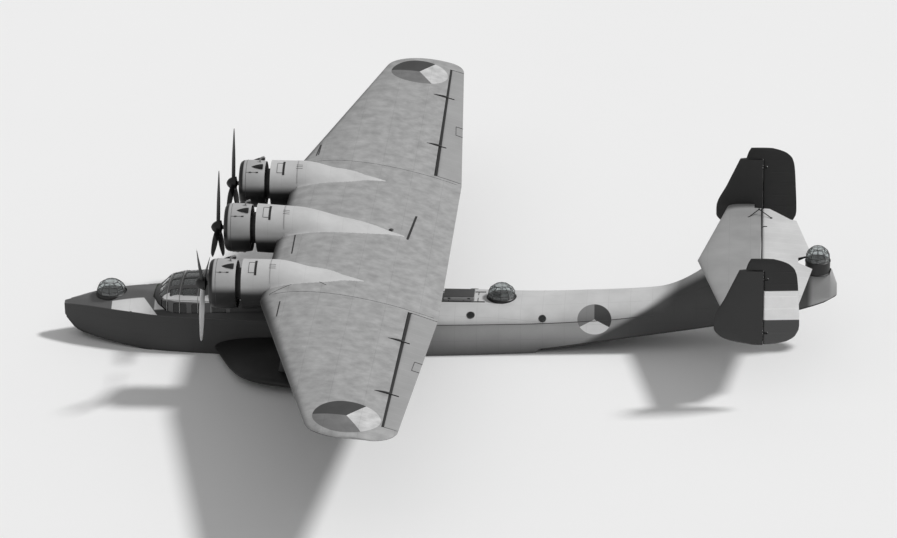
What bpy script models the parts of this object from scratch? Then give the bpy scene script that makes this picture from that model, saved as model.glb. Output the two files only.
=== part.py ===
"""A three-engined flying boat with a parasol wing, stub sponsons and twin fins.

Metres, +X to the bow, +Y to port, +Z up. The origin is on the centre plane at the waterline.
A place along the hull is a station: the distance aft of the nose.
"""

import math

import bmesh
import bpy
from mathutils import Matrix, Vector

# Driving dimensions
NOSE_X = 8.8
HALF_SPAN = 13.5
CENTRE_HALF_SPAN = 4.75
ROOT_CHORD = 4.88
WING_STATION = 6.24
WING_HEIGHT = 3.14
INCIDENCE = math.radians(5.2)
DIHEDRAL_RISE = 0.30
ENGINE_SPREAD = 3.61
PROPELLER_RADIUS = 1.60
COWL_RADIUS = 0.69
TAIL_HEIGHT = 2.50
FIN_SPREAD = 4.03
HINGE_STATION = 20.02

# Fits
SEAT_GAP = 0.0003
RUNNING_GAP = 0.008
# The ailerons' hinges lean with the wing, so their ends move sideways as they turn
AILERON_END_GAP = 0.03
PIN_GAP = 0.0004
# A round cutter is turned by this much, so that none of its edges falls on the centre line
ROD_TWIST = 0.07

# Hull bottom, in three lengths that the steps divide.
# Columns: station, keel height, chine half-beam, chine height
FOREBODY = (
    (0.00, 0.58, 0.10, 0.62),
    (0.25, 0.18, 0.26, 0.33),
    (0.60, -0.05, 0.44, 0.22),
    (1.10, -0.27, 0.68, 0.16),
    (1.85, -0.47, 0.95, 0.08),
    (3.00, -0.65, 1.20, -0.06),
    (4.00, -0.75, 1.32, -0.19),
    (5.00, -0.82, 1.39, -0.27),
    (7.20, -0.88, 1.42, -0.30),
    (9.40, -0.90, 1.40, -0.32),
)
AFTERBODY = (
    (9.46, -0.70, 1.39, -0.26),
    (11.40, -0.60, 1.22, -0.24),
    (13.30, -0.47, 1.00, -0.26),
)
TAIL_BOTTOM = (
    (13.66, -0.10, 0.95, 0.10),
    (14.20, -0.05, 0.92, 0.17),
    (16.50, 0.22, 0.78, 0.49),
    (18.56, 0.52, 0.60, 0.75),
    (20.50, 0.90, 0.42, 1.08),
    (21.70, 1.28, 0.25, 1.40),
    (22.05, 1.50, 0.10, 1.55),
)
# Deck. Columns: station, edge half-width, edge height, crown height
DECK = (
    (0.00, 0.12, 0.96, 1.00),
    (0.60, 0.40, 1.03, 1.17),
    (1.20, 0.64, 1.06, 1.28),
    (2.15, 0.93, 1.06, 1.35),
    (2.85, 1.10, 1.05, 1.37),
    (4.00, 1.21, 1.04, 1.38),
    (5.50, 1.27, 1.01, 1.37),
    (8.00, 1.26, 0.97, 1.34),
    (10.90, 1.15, 0.90, 1.29),
    (13.10, 1.00, 0.90, 1.31),
    (15.35, 0.84, 0.97, 1.45),
    (16.40, 0.76, 1.06, 1.53),
    (17.15, 0.70, 1.15, 1.63),
    (17.64, 0.65, 1.24, 1.83),
    (18.13, 0.60, 1.33, 2.14),
    (18.50, 0.57, 1.40, 2.40),
    (19.60, 0.50, 1.48, 2.40),
    (20.30, 0.44, 1.50, 2.10),
    (20.90, 0.42, 1.51, 2.06),
    (21.15, 0.41, 1.52, 2.28),
    (21.85, 0.32, 1.56, 2.34),
    (22.05, 0.14, 1.60, 1.86),
)
HULL_STATIONS = (
    0.12, 0.40, 0.85, 1.45, 2.40, 3.50, 4.75, 6.00, 8.30, 10.30, 12.30, 15.30, 17.40, 19.00, 20.90, 21.15, 21.95,
)
DECK_ARC_STEPS = 5
# Ahead of the first station the deck is flat with sloping shoulders, and behind the second it is an arch
SHOULDER_STATIONS = (2.9, 4.6)
SHOULDER_KNEE = (0.50, 0.035)

# Canopy and the fairing behind it. Columns: station, base half-width, shoulder half-width, shoulder height, crown
CANOPY = (
    (2.62, 0.42, 0.40, 1.25, 1.34),
    (2.80, 0.72, 0.66, 1.32, 1.46),
    (3.05, 0.95, 0.84, 1.43, 1.68),
    (3.35, 1.05, 0.96, 1.47, 1.75),
    (4.05, 1.10, 1.02, 1.48, 1.79),
    (4.38, 1.11, 1.03, 1.47, 1.64),
    (4.90, 1.12, 1.04, 1.42, 1.56),
)
FAIRING = (
    (4.90, 1.12, 1.04, 1.42, 1.56),
    (5.80, 1.08, 0.95, 1.38, 1.52),
    (6.80, 0.80, 0.65, 1.32, 1.44),
    (7.60, 0.35, 0.25, 1.27, 1.36),
)
SILL_HEIGHT = 1.05
CANOPY_WALL = 0.03
GLASS_WALL = 0.008
# The hull is built in two lengths that meet at the bulkhead behind the cockpit
COCKPIT_FRONT, BULKHEAD_STATION, COCKPIT_HALF_WIDTH, COCKPIT_FLOOR = 3.0, 4.75, 0.90, 0.15
# Side windows. Columns: front station, rear station
SIDE_WINDOWS = ((2.90, 3.12), (3.27, 3.66), (3.80, 4.06), (4.40, 4.80))
SIDE_WINDOW_HEIGHTS = (1.09, 1.43)
# Windscreen panes. Columns: inner and outer half-width, lower and upper height
SCREEN_PANES = ((0.04, 0.36, 1.45, 1.66), (0.43, 0.68, 1.42, 1.60))
# Roof panes. Columns: front station, rear station, inner and outer half-width
ROOF_PANES = ((3.14, 3.40, 0.06, 0.50), (3.50, 3.90, 0.06, 0.50))

# Wing outer panel planform. Columns: distance out, leading edge station, trailing edge station, thickness share
WING_TIP = (
    (12.80, 8.28, 10.67, 0.120),
    (13.15, 8.52, 10.58, 0.105),
    (13.38, 8.86, 10.36, 0.085),
    (13.50, 9.30, 10.00, 0.060),
)
ROOT_THICKNESS = 0.150
WING_CAMBER = 0.028
FOIL_STEPS = (0.0, 0.012, 0.05, 0.12, 0.22, 0.35, 0.50, 0.65, 0.80, 1.0)
TRAILING_EDGE = 0.010
BEHIND_THE_WING = 12.0
AILERON_ENDS = (4.92, 12.72)
AILERON_HINGE_STATIONS = (10.43, 10.31)
AILERON_LUGS = (7.0, 10.6)

# Sponson. Columns: distance out, leading edge station, trailing edge station, centre height, thickness
SPONSON = (
    (1.10, 4.38, 10.40, 0.20, 0.62),
    (1.90, 4.68, 10.25, 0.22, 0.56),
    (2.90, 5.10, 9.95, 0.26, 0.46),
    (3.45, 5.45, 9.65, 0.29, 0.37),
    (3.84, 6.02, 9.25, 0.31, 0.27),
    (4.12, 6.85, 8.60, 0.33, 0.14),
)

# Nacelle bodies. Columns: distance aft of the firewall, centre over the thrust line, rise, drop, half-width
NACELLE = (
    (0.00, 0.00, 0.69, 0.69, 0.690),
    (0.90, 0.00, 0.68, 0.68, 0.690),
    (1.90, -0.05, 0.50, 0.51, 0.600),
    (2.75, -0.12, 0.30, 0.18, 0.420),
    (3.30, -0.20, 0.14, 0.08, 0.200),
    (3.45, -0.24, 0.09, 0.06, 0.090),
)
FIREWALL_STATION = 5.66
# Engines. Columns: name, distance to port, thrust line height, length factor and droop of the nacelle, blade angle
ENGINES = (
    ("port", ENGINE_SPREAD, 3.20, 1.0, 0.0, 152.0),
    ("middle", 0.0, 3.34, 1.25, 0.27, -23.0),
    ("starboard", -ENGINE_SPREAD, 3.20, 1.0, 0.0, -23.0),
)
COWL_FRONT, COWL_REAR = 4.74, 5.50
PROPELLER_STATION = 4.52
SHAFT_RADIUS = 0.06
# Blade. Columns: radius, chord, thickness, pitch in degrees
BLADE = (
    (0.14, 0.13, 0.090, 50.0),
    (0.45, 0.19, 0.055, 38.0),
    (0.95, 0.25, 0.035, 26.0),
    (1.36, 0.22, 0.022, 19.0),
    (PROPELLER_RADIUS - 0.05, 0.15, 0.014, 17.0),
    (PROPELLER_RADIUS, 0.06, 0.010, 17.0),
)
CYLINDERS = 9
BARREL_STATION = FIREWALL_STATION - 0.50
COWL_INNER_RADIUS = COWL_RADIUS - 0.025
# Columns: name, radius, inner end, outer end, sides
CYLINDER_PIECES = (
    ("barrels", 0.095, 0.30, 0.56, 8),
    ("rocker_boxes", 0.055, 0.54, COWL_INNER_RADIUS - 0.0066, 6),
)

# Tailplane and elevator in plan. Columns: distance out, leading edge station, trailing edge station, thickness
TAILPLANE = (
    (0.00, 18.12, 21.42, 0.30),
    (4.03, 18.96, 20.75, 0.20),
)
ELEVATOR_TIP = (3.66, 3.00)
ELEVATOR_RAKE_STATION = 20.76
ELEVATOR_NOTCH = (1.02, 20.95)
ELEVATOR_LUGS = (-2.3, 2.3)

# Fin. Columns: height, leading edge station
FIN = (
    (1.80, 19.55),
    (1.86, 19.15),
    (2.00, 18.80),
    (2.25, 18.62),
    (2.46, 18.62),
    (3.20, 18.94),
    (3.99, 19.30),
)
# Rudder. Columns: height, front station (of the horn above the fin), trailing edge station
RUDDER = (
    (1.81, HINGE_STATION, 20.30),
    (1.90, HINGE_STATION, 20.62),
    (2.07, HINGE_STATION, 20.84),
    (2.33, HINGE_STATION, 20.94),
    (3.30, HINGE_STATION, 20.90),
    (3.80, HINGE_STATION, 20.86),
    (4.005, HINGE_STATION, 20.80),
    (4.015, 19.47, 20.79),
    (4.18, 19.52, 20.64),
    (4.33, 19.60, 20.22),
)
FIN_THICKNESS = 0.16
RUDDER_THICKNESS_AT_HINGE = 0.13
FIN_REAR = HINGE_STATION - RUDDER_THICKNESS_AT_HINGE / 2 - RUNNING_GAP
RUDDER_LUGS = (2.15, 3.75)

# Hinge lugs
LUG_WIDTH, LUG_REACH, LUG_HALF_HEIGHT = 0.05, 0.03, 0.03
PIN_RADIUS, PIN_ENTRY = 0.012, 0.03
NOTCH_REACH = 0.055

# Turrets. Columns: name, station, seat height, radius, ring height, dome height
TURRETS = (
    ("nose", 1.36, 1.20, 0.42, 0.10, 0.31),
    ("dorsal", 12.56, 1.22, 0.40, 0.11, 0.32),
    ("tail", 21.50, 2.20, 0.35, 0.38, 0.35),
)
SPIGOT_RADIUS, SPIGOT_DEPTH = 0.09, 0.07
DOME_WALL = 0.012
# The domes' outline from the foot up. Columns: share of the radius, share of the height
DOME_OUTLINE = ((1.0, 0.0), (1.0, 0.30), (0.86, 0.66), (0.52, 1.0), (0.0, 1.0))

# Struts. Columns: name, foot (station, distance out, height), head (station, distance out, height), chord, thickness
CABANE_STRUTS = (
    ("front", (6.75, 0.85, 1.0), (6.95, 1.75, 3.0), 0.20, 0.08),
    ("rear", (9.30, 0.85, 1.0), (9.45, 1.75, 2.82), 0.20, 0.08),
    ("diagonal", (6.80, 0.93, 1.18), (9.42, 1.64, 2.60), 0.12, 0.06),
)
SPONSON_STRUTS = (
    ("front", (6.60, 3.35, 0.22), (7.20, 4.55, 3.0), 0.22, 0.09),
    ("rear", (8.60, 3.35, 0.25), (9.20, 4.55, 2.85), 0.20, 0.08),
)
TAIL_STRUTS = (("tail", (19.30, 0.35, 1.15), (19.40, 2.50, 2.48), 0.12, 0.05),)

parts = bpy.data.collections.new("flying_boat")
helpers = bpy.data.collections.new("cutters")


# Small tools
def at(station, out, height):
    """The point at this station, distance to port and height."""
    return Vector((NOSE_X - station, out, height))


def material(name, tone, roughness, metallic=0.0):
    """A plain Principled material of one grey tone, from 0 to 1."""
    made = bpy.data.materials.new(name)
    made.use_nodes = True
    shader = made.node_tree.nodes["Principled BSDF"]
    shader.inputs["Base Color"].default_value = (tone, tone, tone, 1.0)
    shader.inputs["Roughness"].default_value = roughness
    shader.inputs["Metallic"].default_value = metallic
    made.diffuse_color = (tone, tone, tone, 1.0)
    return made


def add_mesh(name, mesh_data, finish, helper=False):
    """A new object from a bmesh: a part, or a hidden cutter."""
    bmesh.ops.remove_doubles(mesh_data, verts=mesh_data.verts, dist=1e-6)
    bmesh.ops.recalc_face_normals(mesh_data, faces=mesh_data.faces)
    mesh = bpy.data.meshes.new(name)
    mesh_data.to_mesh(mesh)
    mesh_data.free()
    made = bpy.data.objects.new(name, mesh)
    if helper:
        helpers.objects.link(made)
        made.hide_render = True
        made.display_type = "WIRE"
    else:
        parts.objects.link(made)
        mesh.materials.append(finish)
    return made


def loft(name, rings, finish=None, helper=False):
    """A closed body through rings of points, each ring with as many points as the next."""
    shape = bmesh.new()
    rows = [[shape.verts.new(point) for point in ring] for ring in rings]
    for first, second in zip(rows, rows[1:]):
        for i in range(len(first)):
            j = (i + 1) % len(first)
            shape.faces.new((first[i], first[j], second[j], second[i]))
    shape.faces.new(rows[0])
    shape.faces.new(reversed(rows[-1]))
    bmesh.ops.triangulate(shape, faces=shape.faces)
    return add_mesh(name, shape, finish, helper)


def prism(name, outline, low, high, finish=None, helper=True):
    """An outline in plan, of (station, distance out), raised from one height to another."""
    rings = [[at(station, out, height) for station, out in outline] for height in (low, high)]
    return loft(name, rings, finish, helper)


def box(name, stations, outs, heights, finish=None, helper=True):
    """A box between two stations, two distances to port and two heights."""
    shape = bmesh.new()
    centre = at(sum(stations) / 2, sum(outs) / 2, sum(heights) / 2)
    size = Vector((abs(stations[1] - stations[0]), abs(outs[1] - outs[0]), abs(heights[1] - heights[0])))
    bmesh.ops.create_cube(shape, size=1.0, matrix=Matrix.Translation(centre) @ Matrix.Diagonal(size.to_4d()))
    return add_mesh(name, shape, finish, helper)


def rod(name, start, end, radius, finish=None, helper=True, sides=8):
    """A round bar between two points."""
    shape = bmesh.new()
    along = end - start
    turn = along.to_track_quat("Z", "Y").to_matrix().to_4x4()
    place = Matrix.Translation((start + end) / 2) @ turn @ Matrix.Rotation(ROD_TWIST, 4, "Z")
    bmesh.ops.create_cone(
        shape, cap_ends=True, segments=sides, radius1=radius, radius2=radius, depth=along.length, matrix=place
    )
    return add_mesh(name, shape, finish, helper)


def bore(name, start, end, radius, sides=12):
    """A cutter whose flats clear a round shaft of this radius."""
    return rod(name, start, end, (radius + PIN_GAP) / math.cos(math.pi / sides), sides=sides)


def turned(name, profile, axis_point, axis, steps, finish=None, helper=False):
    """A profile of (radius, distance along the axis) turned round the axis."""
    shape = bmesh.new()
    points = [shape.verts.new((radius, 0.0, along)) for radius, along in profile]
    for first, second in zip(points, points[1:]):
        shape.edges.new((first, second))
    mesh = bpy.data.meshes.new(name)
    shape.to_mesh(mesh)
    shape.free()
    made = bpy.data.objects.new(name, mesh)
    made.matrix_world = Matrix.Translation(axis_point) @ axis.to_track_quat("Z", "Y").to_matrix().to_4x4()
    screw = made.modifiers.new("turn", "SCREW")
    screw.axis = "Z"
    screw.steps = steps
    screw.render_steps = steps
    screw.use_merge_vertices = True
    screw.merge_threshold = 0.0001
    screw.use_smooth_shade = True
    if helper:
        helpers.objects.link(made)
        made.hide_render = True
        made.display_type = "WIRE"
    else:
        parts.objects.link(made)
        mesh.materials.append(finish)
    return made


def boolean(target, tool, operation):
    """Cuts or joins a tool with a Boolean modifier."""
    modifier = target.modifiers.new(tool.name, "BOOLEAN")
    modifier.operation = operation
    modifier.object = tool


def cut(target, *tools):
    for tool in tools:
        boolean(target, tool, "DIFFERENCE")


def fuse(target, *tools):
    for tool in tools:
        boolean(target, tool, "UNION")


def table_row(table, station):
    """The row of a table at any station, smoothly between the rows that it holds."""
    if station <= table[0][0]:
        return table[0]
    if station >= table[-1][0]:
        return table[-1]
    index = max(i for i, row in enumerate(table[:-1]) if row[0] <= station)
    low, high = table[index], table[index + 1]
    before, after = table[max(index - 1, 0)], table[min(index + 2, len(table) - 1)]
    width = high[0] - low[0]
    share = (station - low[0]) / width
    values = [station]
    for column in range(1, len(low)):
        rise = (high[column] - low[column]) / width
        start = slope_between(before, low, column, rise)
        end = slope_between(high, after, column, rise)
        values.append(hermite(low[column], high[column], start * width, end * width, share))
    return tuple(values)


def slope_between(first, second, column, rise):
    """The slope at a row, kept level where the values turn."""
    if second[0] == first[0]:
        return rise
    other = (second[column] - first[column]) / (second[0] - first[0])
    return 0.0 if other * rise <= 0 else 2 * other * rise / (other + rise)


def hermite(low, high, start, end, share):
    """A cubic from low to high with these end slopes."""
    square, cube = share**2, share**3
    return (
        low * (2 * cube - 3 * square + 1)
        + start * (cube - 2 * square + share)
        + high * (3 * square - 2 * cube)
        + end * (cube - square)
    )


# Hull
def hull_ring(station, bottom, swell):
    """One section of the hull: keel, chine, deck edge and the arched deck."""
    _, keel, chine_out, chine_height = table_row(bottom, station)
    _, edge_out, edge_height, crown = table_row(DECK, station)
    half = [(0.0, keel - swell)]
    half.append((chine_out * 0.55, keel + (chine_height - keel) * 0.62 - swell))
    half.append((chine_out + swell, chine_height - swell))
    half.append(((chine_out + edge_out) / 2 + 0.02 * edge_out + swell, (chine_height + edge_height) / 2))
    knee_out, knee_drop = SHOULDER_KNEE
    start, end = SHOULDER_STATIONS
    arch = min(1.0, max(0.0, (station - start) / (end - start)))
    for step in range(DECK_ARC_STEPS):
        share = step / DECK_ARC_STEPS
        angle = math.pi / 2 * share
        round_out, round_rise = math.cos(angle), (crown - edge_height) * math.sin(angle)
        if share < 0.5:
            flat_out = 1 - (1 - knee_out) * share / 0.5
            flat_rise = (crown - edge_height - knee_drop) * share / 0.5
        else:
            flat_out = knee_out * (1 - share) / 0.5
            flat_rise = crown - edge_height - knee_drop * (1 - share) / 0.5
        out = edge_out * (flat_out + (round_out - flat_out) * arch)
        rise = flat_rise + (round_rise - flat_rise) * arch
        half.append((out + swell * round_out, edge_height + rise + swell * math.sin(angle)))
    half.append((0.0, crown + swell))
    ring = [at(station, out, height) for out, height in half]
    ring += [at(station, -out, height) for out, height in reversed(half[1:-1])]
    return ring


def hull_body(name, finish=None, swell=0.0, helper=False, front=0.0, rear=DECK[-1][0]):
    """The hull between two stations, with the steps that stand there."""
    rings = []
    for bottom in (FOREBODY, AFTERBODY, TAIL_BOTTOM):
        first, last = max(bottom[0][0], front), min(bottom[-1][0], rear)
        if first > last:
            continue
        between = [row[0] for row in bottom] + list(HULL_STATIONS)
        wanted = sorted({first, last} | {s for s in between if first < s < last})
        rings += [hull_ring(station, bottom, swell) for station in wanted]
    return loft(name, rings, finish, helper)


def canopy_ring(row, shrink, floor):
    """One section of the canopy or its fairing, drawn in by a wall's thickness."""
    station, base, shoulder, shoulder_height, crown = row
    half = [(base - shrink, floor)] if floor < SILL_HEIGHT else []
    half += [(base - shrink, SILL_HEIGHT), (shoulder - shrink, shoulder_height - shrink * 0.5)]
    for step in range(1, 4):
        angle = math.pi / 2 * step / 4
        rise = crown - shoulder_height
        half.append(((shoulder - shrink) * math.cos(angle), shoulder_height + rise * math.sin(angle) - shrink))
    ring = [at(station, out, height) for out, height in half]
    ring.append(at(station, 0.0, crown - shrink))
    ring += [at(station, -out, height) for out, height in reversed(half)]
    return ring


def canopy_body(name, rows, shrink, floor, finish=None, helper=True, trim=0.0):
    """A lofted canopy solid. Its ends move in by trim."""
    moved = [list(row) for row in rows]
    moved[0][0] += trim
    moved[-1][0] -= trim
    return loft(name, [canopy_ring(tuple(row), shrink, floor) for row in moved], finish, helper)


def make_hull():
    """Both lengths of the hull. The cockpit's well opens aft, and the bulkhead of the rear length closes it."""
    bow = hull_body("hull_bow", HULL_PAINT, rear=BULKHEAD_STATION)
    main = hull_body("hull_main", HULL_PAINT, front=BULKHEAD_STATION + SEAT_GAP)
    footprint = [(row[0], row[1]) for row in CANOPY + FAIRING[1:]]
    front, rear = footprint[0], footprint[-1]
    footprint = [(s, y + SEAT_GAP) for s, y in footprint]
    footprint[0] = (front[0] - SEAT_GAP, front[1] + SEAT_GAP)
    footprint[-1] = (rear[0] + SEAT_GAP, rear[1] + SEAT_GAP)
    outline = footprint + [(s, -y) for s, y in reversed(footprint)]
    canopy_seat = prism("canopy_seat", outline, SILL_HEIGHT - SEAT_GAP, 3.0)
    well = box(
        "cockpit_well",
        (COCKPIT_FRONT, BULKHEAD_STATION + 0.1),
        (-COCKPIT_HALF_WIDTH, COCKPIT_HALF_WIDTH),
        (COCKPIT_FLOOR, SILL_HEIGHT + 0.5),
    )
    cut(bow, canopy_seat, well)
    cut(main, canopy_seat)
    return bow, main


def make_canopy():
    frame = canopy_body("canopy_frame", CANOPY, 0.0, SILL_HEIGHT, CANOPY_PAINT, helper=False)
    cut(frame, canopy_body("canopy_inside", CANOPY, CANOPY_WALL, SILL_HEIGHT - 0.2, trim=0.12))
    for index, (front, rear) in enumerate(SIDE_WINDOWS):
        for side in (-1, 1):
            outs = (side * 0.6, side * 1.4)
            cut(frame, box(f"side_window_{index}_{side}", (front, rear), outs, SIDE_WINDOW_HEIGHTS))
    for index, (inner, outer, low, high) in enumerate(SCREEN_PANES):
        for side in (-1, 1):
            cut(frame, box(f"screen_pane_{index}_{side}", (2.5, 3.2), (side * inner, side * outer), (low, high)))
    for index, (front, rear, inner, outer) in enumerate(ROOF_PANES):
        for side in (-1, 1):
            cut(frame, box(f"roof_pane_{index}_{side}", (front, rear), (side * inner, side * outer), (1.55, 2.2)))
    gap = CANOPY_WALL + PIN_GAP
    glass = canopy_body("canopy_glass", CANOPY, gap, SILL_HEIGHT, GLASS, helper=False, trim=0.12 + PIN_GAP)
    inside = canopy_body("glass_inside", CANOPY, gap + GLASS_WALL, SILL_HEIGHT - 0.2, trim=0.13)
    cut(glass, inside)
    canopy_body("cabin_fairing", FAIRING, 0.0, SILL_HEIGHT, HULL_PAINT, helper=False).location.x -= SEAT_GAP


def make_cockpit():
    """Seats, instrument panel and control columns, which show through the canopy."""
    for name, side in (("port", 1), ("starboard", -1)):
        middle = 0.42 * side
        floor = COCKPIT_FLOOR + SEAT_GAP
        seat = box(f"seat_{name}", (3.72, 4.14), (middle - 0.23, middle + 0.23), (floor, 0.58), SEAT_CLOTH, False)
        fuse(seat, box(f"seat_back_{name}", (4.10, 4.20), (middle - 0.23, middle + 0.23), (0.30, 1.24)))
        column = rod(f"control_column_{name}", at(3.42, middle, floor), at(3.42, middle, 0.86), 0.022, METAL, False)
        wheel = bmesh.new()
        wheel_place = Matrix.Translation(at(3.42, middle, 0.87)) @ Matrix.Rotation(math.radians(80), 4, "Y")
        bmesh.ops.create_cone(
            wheel, cap_ends=True, segments=20, radius1=0.15, radius2=0.15, depth=0.03, matrix=wheel_place
        )
        fuse(column, add_mesh(f"control_wheel_{name}", wheel, None, helper=True))
    panel_outs = (-COCKPIT_HALF_WIDTH + 0.05, COCKPIT_HALF_WIDTH - 0.05)
    panel = box("instrument_panel", (3.08, 3.16), panel_outs, (COCKPIT_FLOOR + SEAT_GAP, 1.18), PANEL_BLACK, False)
    return panel


# Wing
def foil(share, thickness):
    """Upper and lower surface of the wing section, as shares of the chord."""
    half = 5 * thickness * (
        0.2969 * math.sqrt(share) - 0.1260 * share - 0.3516 * share**2 + 0.2843 * share**3 - 0.1036 * share**4
    )
    camber = 4 * WING_CAMBER * share * (1 - share)
    return camber + half, camber - half


def wing_chord(out):
    """Leading edge station and height, trailing edge station, and thickness share at a distance out."""
    tip_out, tip_front, tip_rear, tip_thickness = WING_TIP[0]
    if out <= tip_out:
        share = max(0.0, (out - CENTRE_HALF_SPAN) / (tip_out - CENTRE_HALF_SPAN))
        front = WING_STATION + (tip_front - WING_STATION) * share
        rear = WING_STATION + ROOT_CHORD + (tip_rear - WING_STATION - ROOT_CHORD) * share
        thickness = ROOT_THICKNESS + (tip_thickness - ROOT_THICKNESS) * share
    else:
        _, front, rear, thickness = next(row for row in WING_TIP if row[0] >= out)
    rise = DIHEDRAL_RISE * max(0.0, out - CENTRE_HALF_SPAN) / (HALF_SPAN - CENTRE_HALF_SPAN)
    panel_front = WING_STATION + (tip_front - WING_STATION) * max(0.0, out - CENTRE_HALF_SPAN) / (
        tip_out - CENTRE_HALF_SPAN
    )
    height = WING_HEIGHT + rise - math.tan(INCIDENCE) * (front - panel_front)
    return front, height, rear, thickness


def wing_surface(out, station):
    """Heights of the upper and the lower surface at a distance out and a station."""
    front, height, rear, thickness = wing_chord(out)
    chord = rear - front
    share = (station - front) / chord
    upper, lower = foil(share, thickness)
    middle = height - math.tan(INCIDENCE) * (station - front)
    half_edge = TRAILING_EDGE / 2 * share
    return middle + upper * chord + half_edge, middle + lower * chord - half_edge


def wing_ring(out, side, swell):
    """One section of the wing, from the trailing edge over the top and back under."""
    front, height, rear, _ = wing_chord(out)
    chord = rear - front
    upper, lower = [], []
    for share in FOIL_STEPS:
        station = front + share * chord
        high, low = wing_surface(out, station)
        shift = swell * (1 if share == 1.0 else -1 if share == 0.0 else 0)
        upper.append(at(station + shift, out * side, high + swell))
        lower.append(at(station + shift, out * side, low - swell))
    nose = at(front - swell, out * side, height)
    return list(reversed(upper[1:])) + [nose] + lower[1:]


def make_wing_centre(name, finish=None, swell=0.0, helper=False):
    half = CENTRE_HALF_SPAN
    return loft(name, [wing_ring(half, 1, swell), wing_ring(half, -1, swell)], finish, helper)


def wing_panel(name, side, finish=None, helper=False):
    outs = [CENTRE_HALF_SPAN] + [row[0] for row in WING_TIP]
    rings = [wing_ring(out, side, 0.0) for out in outs]
    for point in rings[0]:
        point.y += side * SEAT_GAP
    return loft(name, rings, finish, helper)


def aileron_axis(side):
    """Both ends of the aileron's hinge line, and the half thickness there."""
    ends = []
    for out, station in zip(AILERON_ENDS, AILERON_HINGE_STATIONS):
        high, low = wing_surface(out, station)
        ends.append((at(station, out * side, (high + low) / 2), (high - low) / 2))
    return ends


def control_ring(hinge, radius, surface, rear, shares, out):
    """A control surface's section: round nose on its hinge, then both skins to the trailing edge."""
    upper = [(rear - share * (rear - hinge.x_station)) for share in shares]
    points = [at(station, out, surface(station)[0]) for station in upper]
    for step in range(1, 6):
        angle = math.pi * step / 6
        points.append(at(hinge.x_station - radius * math.sin(angle), out, hinge.height + radius * math.cos(angle)))
    points += [at(station, out, surface(station)[1]) for station in reversed(upper)]
    return points


class HingePoint:
    """A hinge's place in a section: its station and its height."""

    def __init__(self, station, height):
        self.x_station = station
        self.height = height


def add_hinge(fixed, moving, tag, point, axis, forward):
    """A lug with a pin on the fixed piece, and its slot and bore in the moving one."""
    axis = axis.normalized()
    up = axis.cross(forward).normalized()
    forward = up.cross(axis).normalized()
    turn = Matrix((forward, axis, up)).transposed().to_4x4()

    def block(name, back, front, width, height):
        shape = bmesh.new()
        centre = point + forward * (front - back) / 2
        size = Matrix.Diagonal(Vector((front + back, width, height, 1.0)))
        bmesh.ops.create_cube(shape, size=1.0, matrix=Matrix.Translation(centre) @ turn @ size)
        return add_mesh(name, shape, None, helper=True)

    reach = LUG_WIDTH / 2 + RUNNING_GAP + PIN_ENTRY
    fuse(fixed, block(f"lug_{tag}", LUG_REACH, 0.20, LUG_WIDTH, 2 * LUG_HALF_HEIGHT))
    fuse(fixed, rod(f"pin_{tag}", point - axis * reach, point + axis * reach, PIN_RADIUS))
    cut(moving, block(f"slot_{tag}", NOTCH_REACH, 0.50, LUG_WIDTH + 2 * RUNNING_GAP, 0.60))
    bore_reach = reach + 0.002
    cut(moving, bore(f"bore_{tag}", point - axis * bore_reach, point + axis * bore_reach, PIN_RADIUS))


def make_wing():
    make_wing_centre("wing_centre", WING_PAINT)
    for name, side in (("port", 1), ("starboard", -1)):
        panel = wing_panel(f"wing_{name}", side, WING_PAINT)
        (inner, inner_radius), (outer, outer_radius) = aileron_axis(side)
        inner_front = AILERON_HINGE_STATIONS[0] - inner_radius - RUNNING_GAP
        outer_front = AILERON_HINGE_STATIONS[1] - outer_radius - RUNNING_GAP
        low_out, high_out = AILERON_ENDS[0] - AILERON_END_GAP, AILERON_ENDS[1] + AILERON_END_GAP
        bay = (
            (inner_front, side * low_out),
            (BEHIND_THE_WING, side * low_out),
            (BEHIND_THE_WING, side * high_out),
            (outer_front, side * high_out),
        )
        cut(panel, prism(f"aileron_bay_{name}", bay, 1.0, 5.0))
        rings = []
        for out, station, (centre, radius) in zip(
            AILERON_ENDS, AILERON_HINGE_STATIONS, ((inner, inner_radius), (outer, outer_radius))
        ):
            rear = wing_chord(out)[2]
            surface = lambda place, out=out: wing_surface(out, place)
            hinge = HingePoint(station, centre.z)
            rings.append(control_ring(hinge, radius, surface, rear, (0.0, 0.35, 0.7, 1.0), out * side))
        aileron = loft(f"aileron_{name}", rings, CONTROL_PAINT)
        axis = outer - inner
        for index, out in enumerate(AILERON_LUGS):
            share = (out - AILERON_ENDS[0]) / (AILERON_ENDS[1] - AILERON_ENDS[0])
            point = inner + axis * share
            add_hinge(panel, aileron, f"aileron_{name}_{index}", point, axis * side, Vector((1, 0, 0)))


# Struts
def strut(name, foot, head, chord, thickness, side, finish=None, helper=False):
    """A strut of streamlined section between two points."""
    start, end = (at(s, y * side, z) for s, y, z in (foot, head))
    along = (end - start).normalized()
    forward = (Vector((1, 0, 0)) - along * along.x).normalized()
    across = along.cross(forward)
    rings = []
    for centre in (start, end):
        ring = []
        for step in range(12):
            angle = 2 * math.pi * step / 12
            lean = 0.85 if math.cos(angle) < 0 else 0.6
            ring.append(centre + forward * math.cos(angle) * chord * lean + across * math.sin(angle) * thickness / 2)
        rings.append(ring)
    return loft(name, rings, finish, helper)


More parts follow.
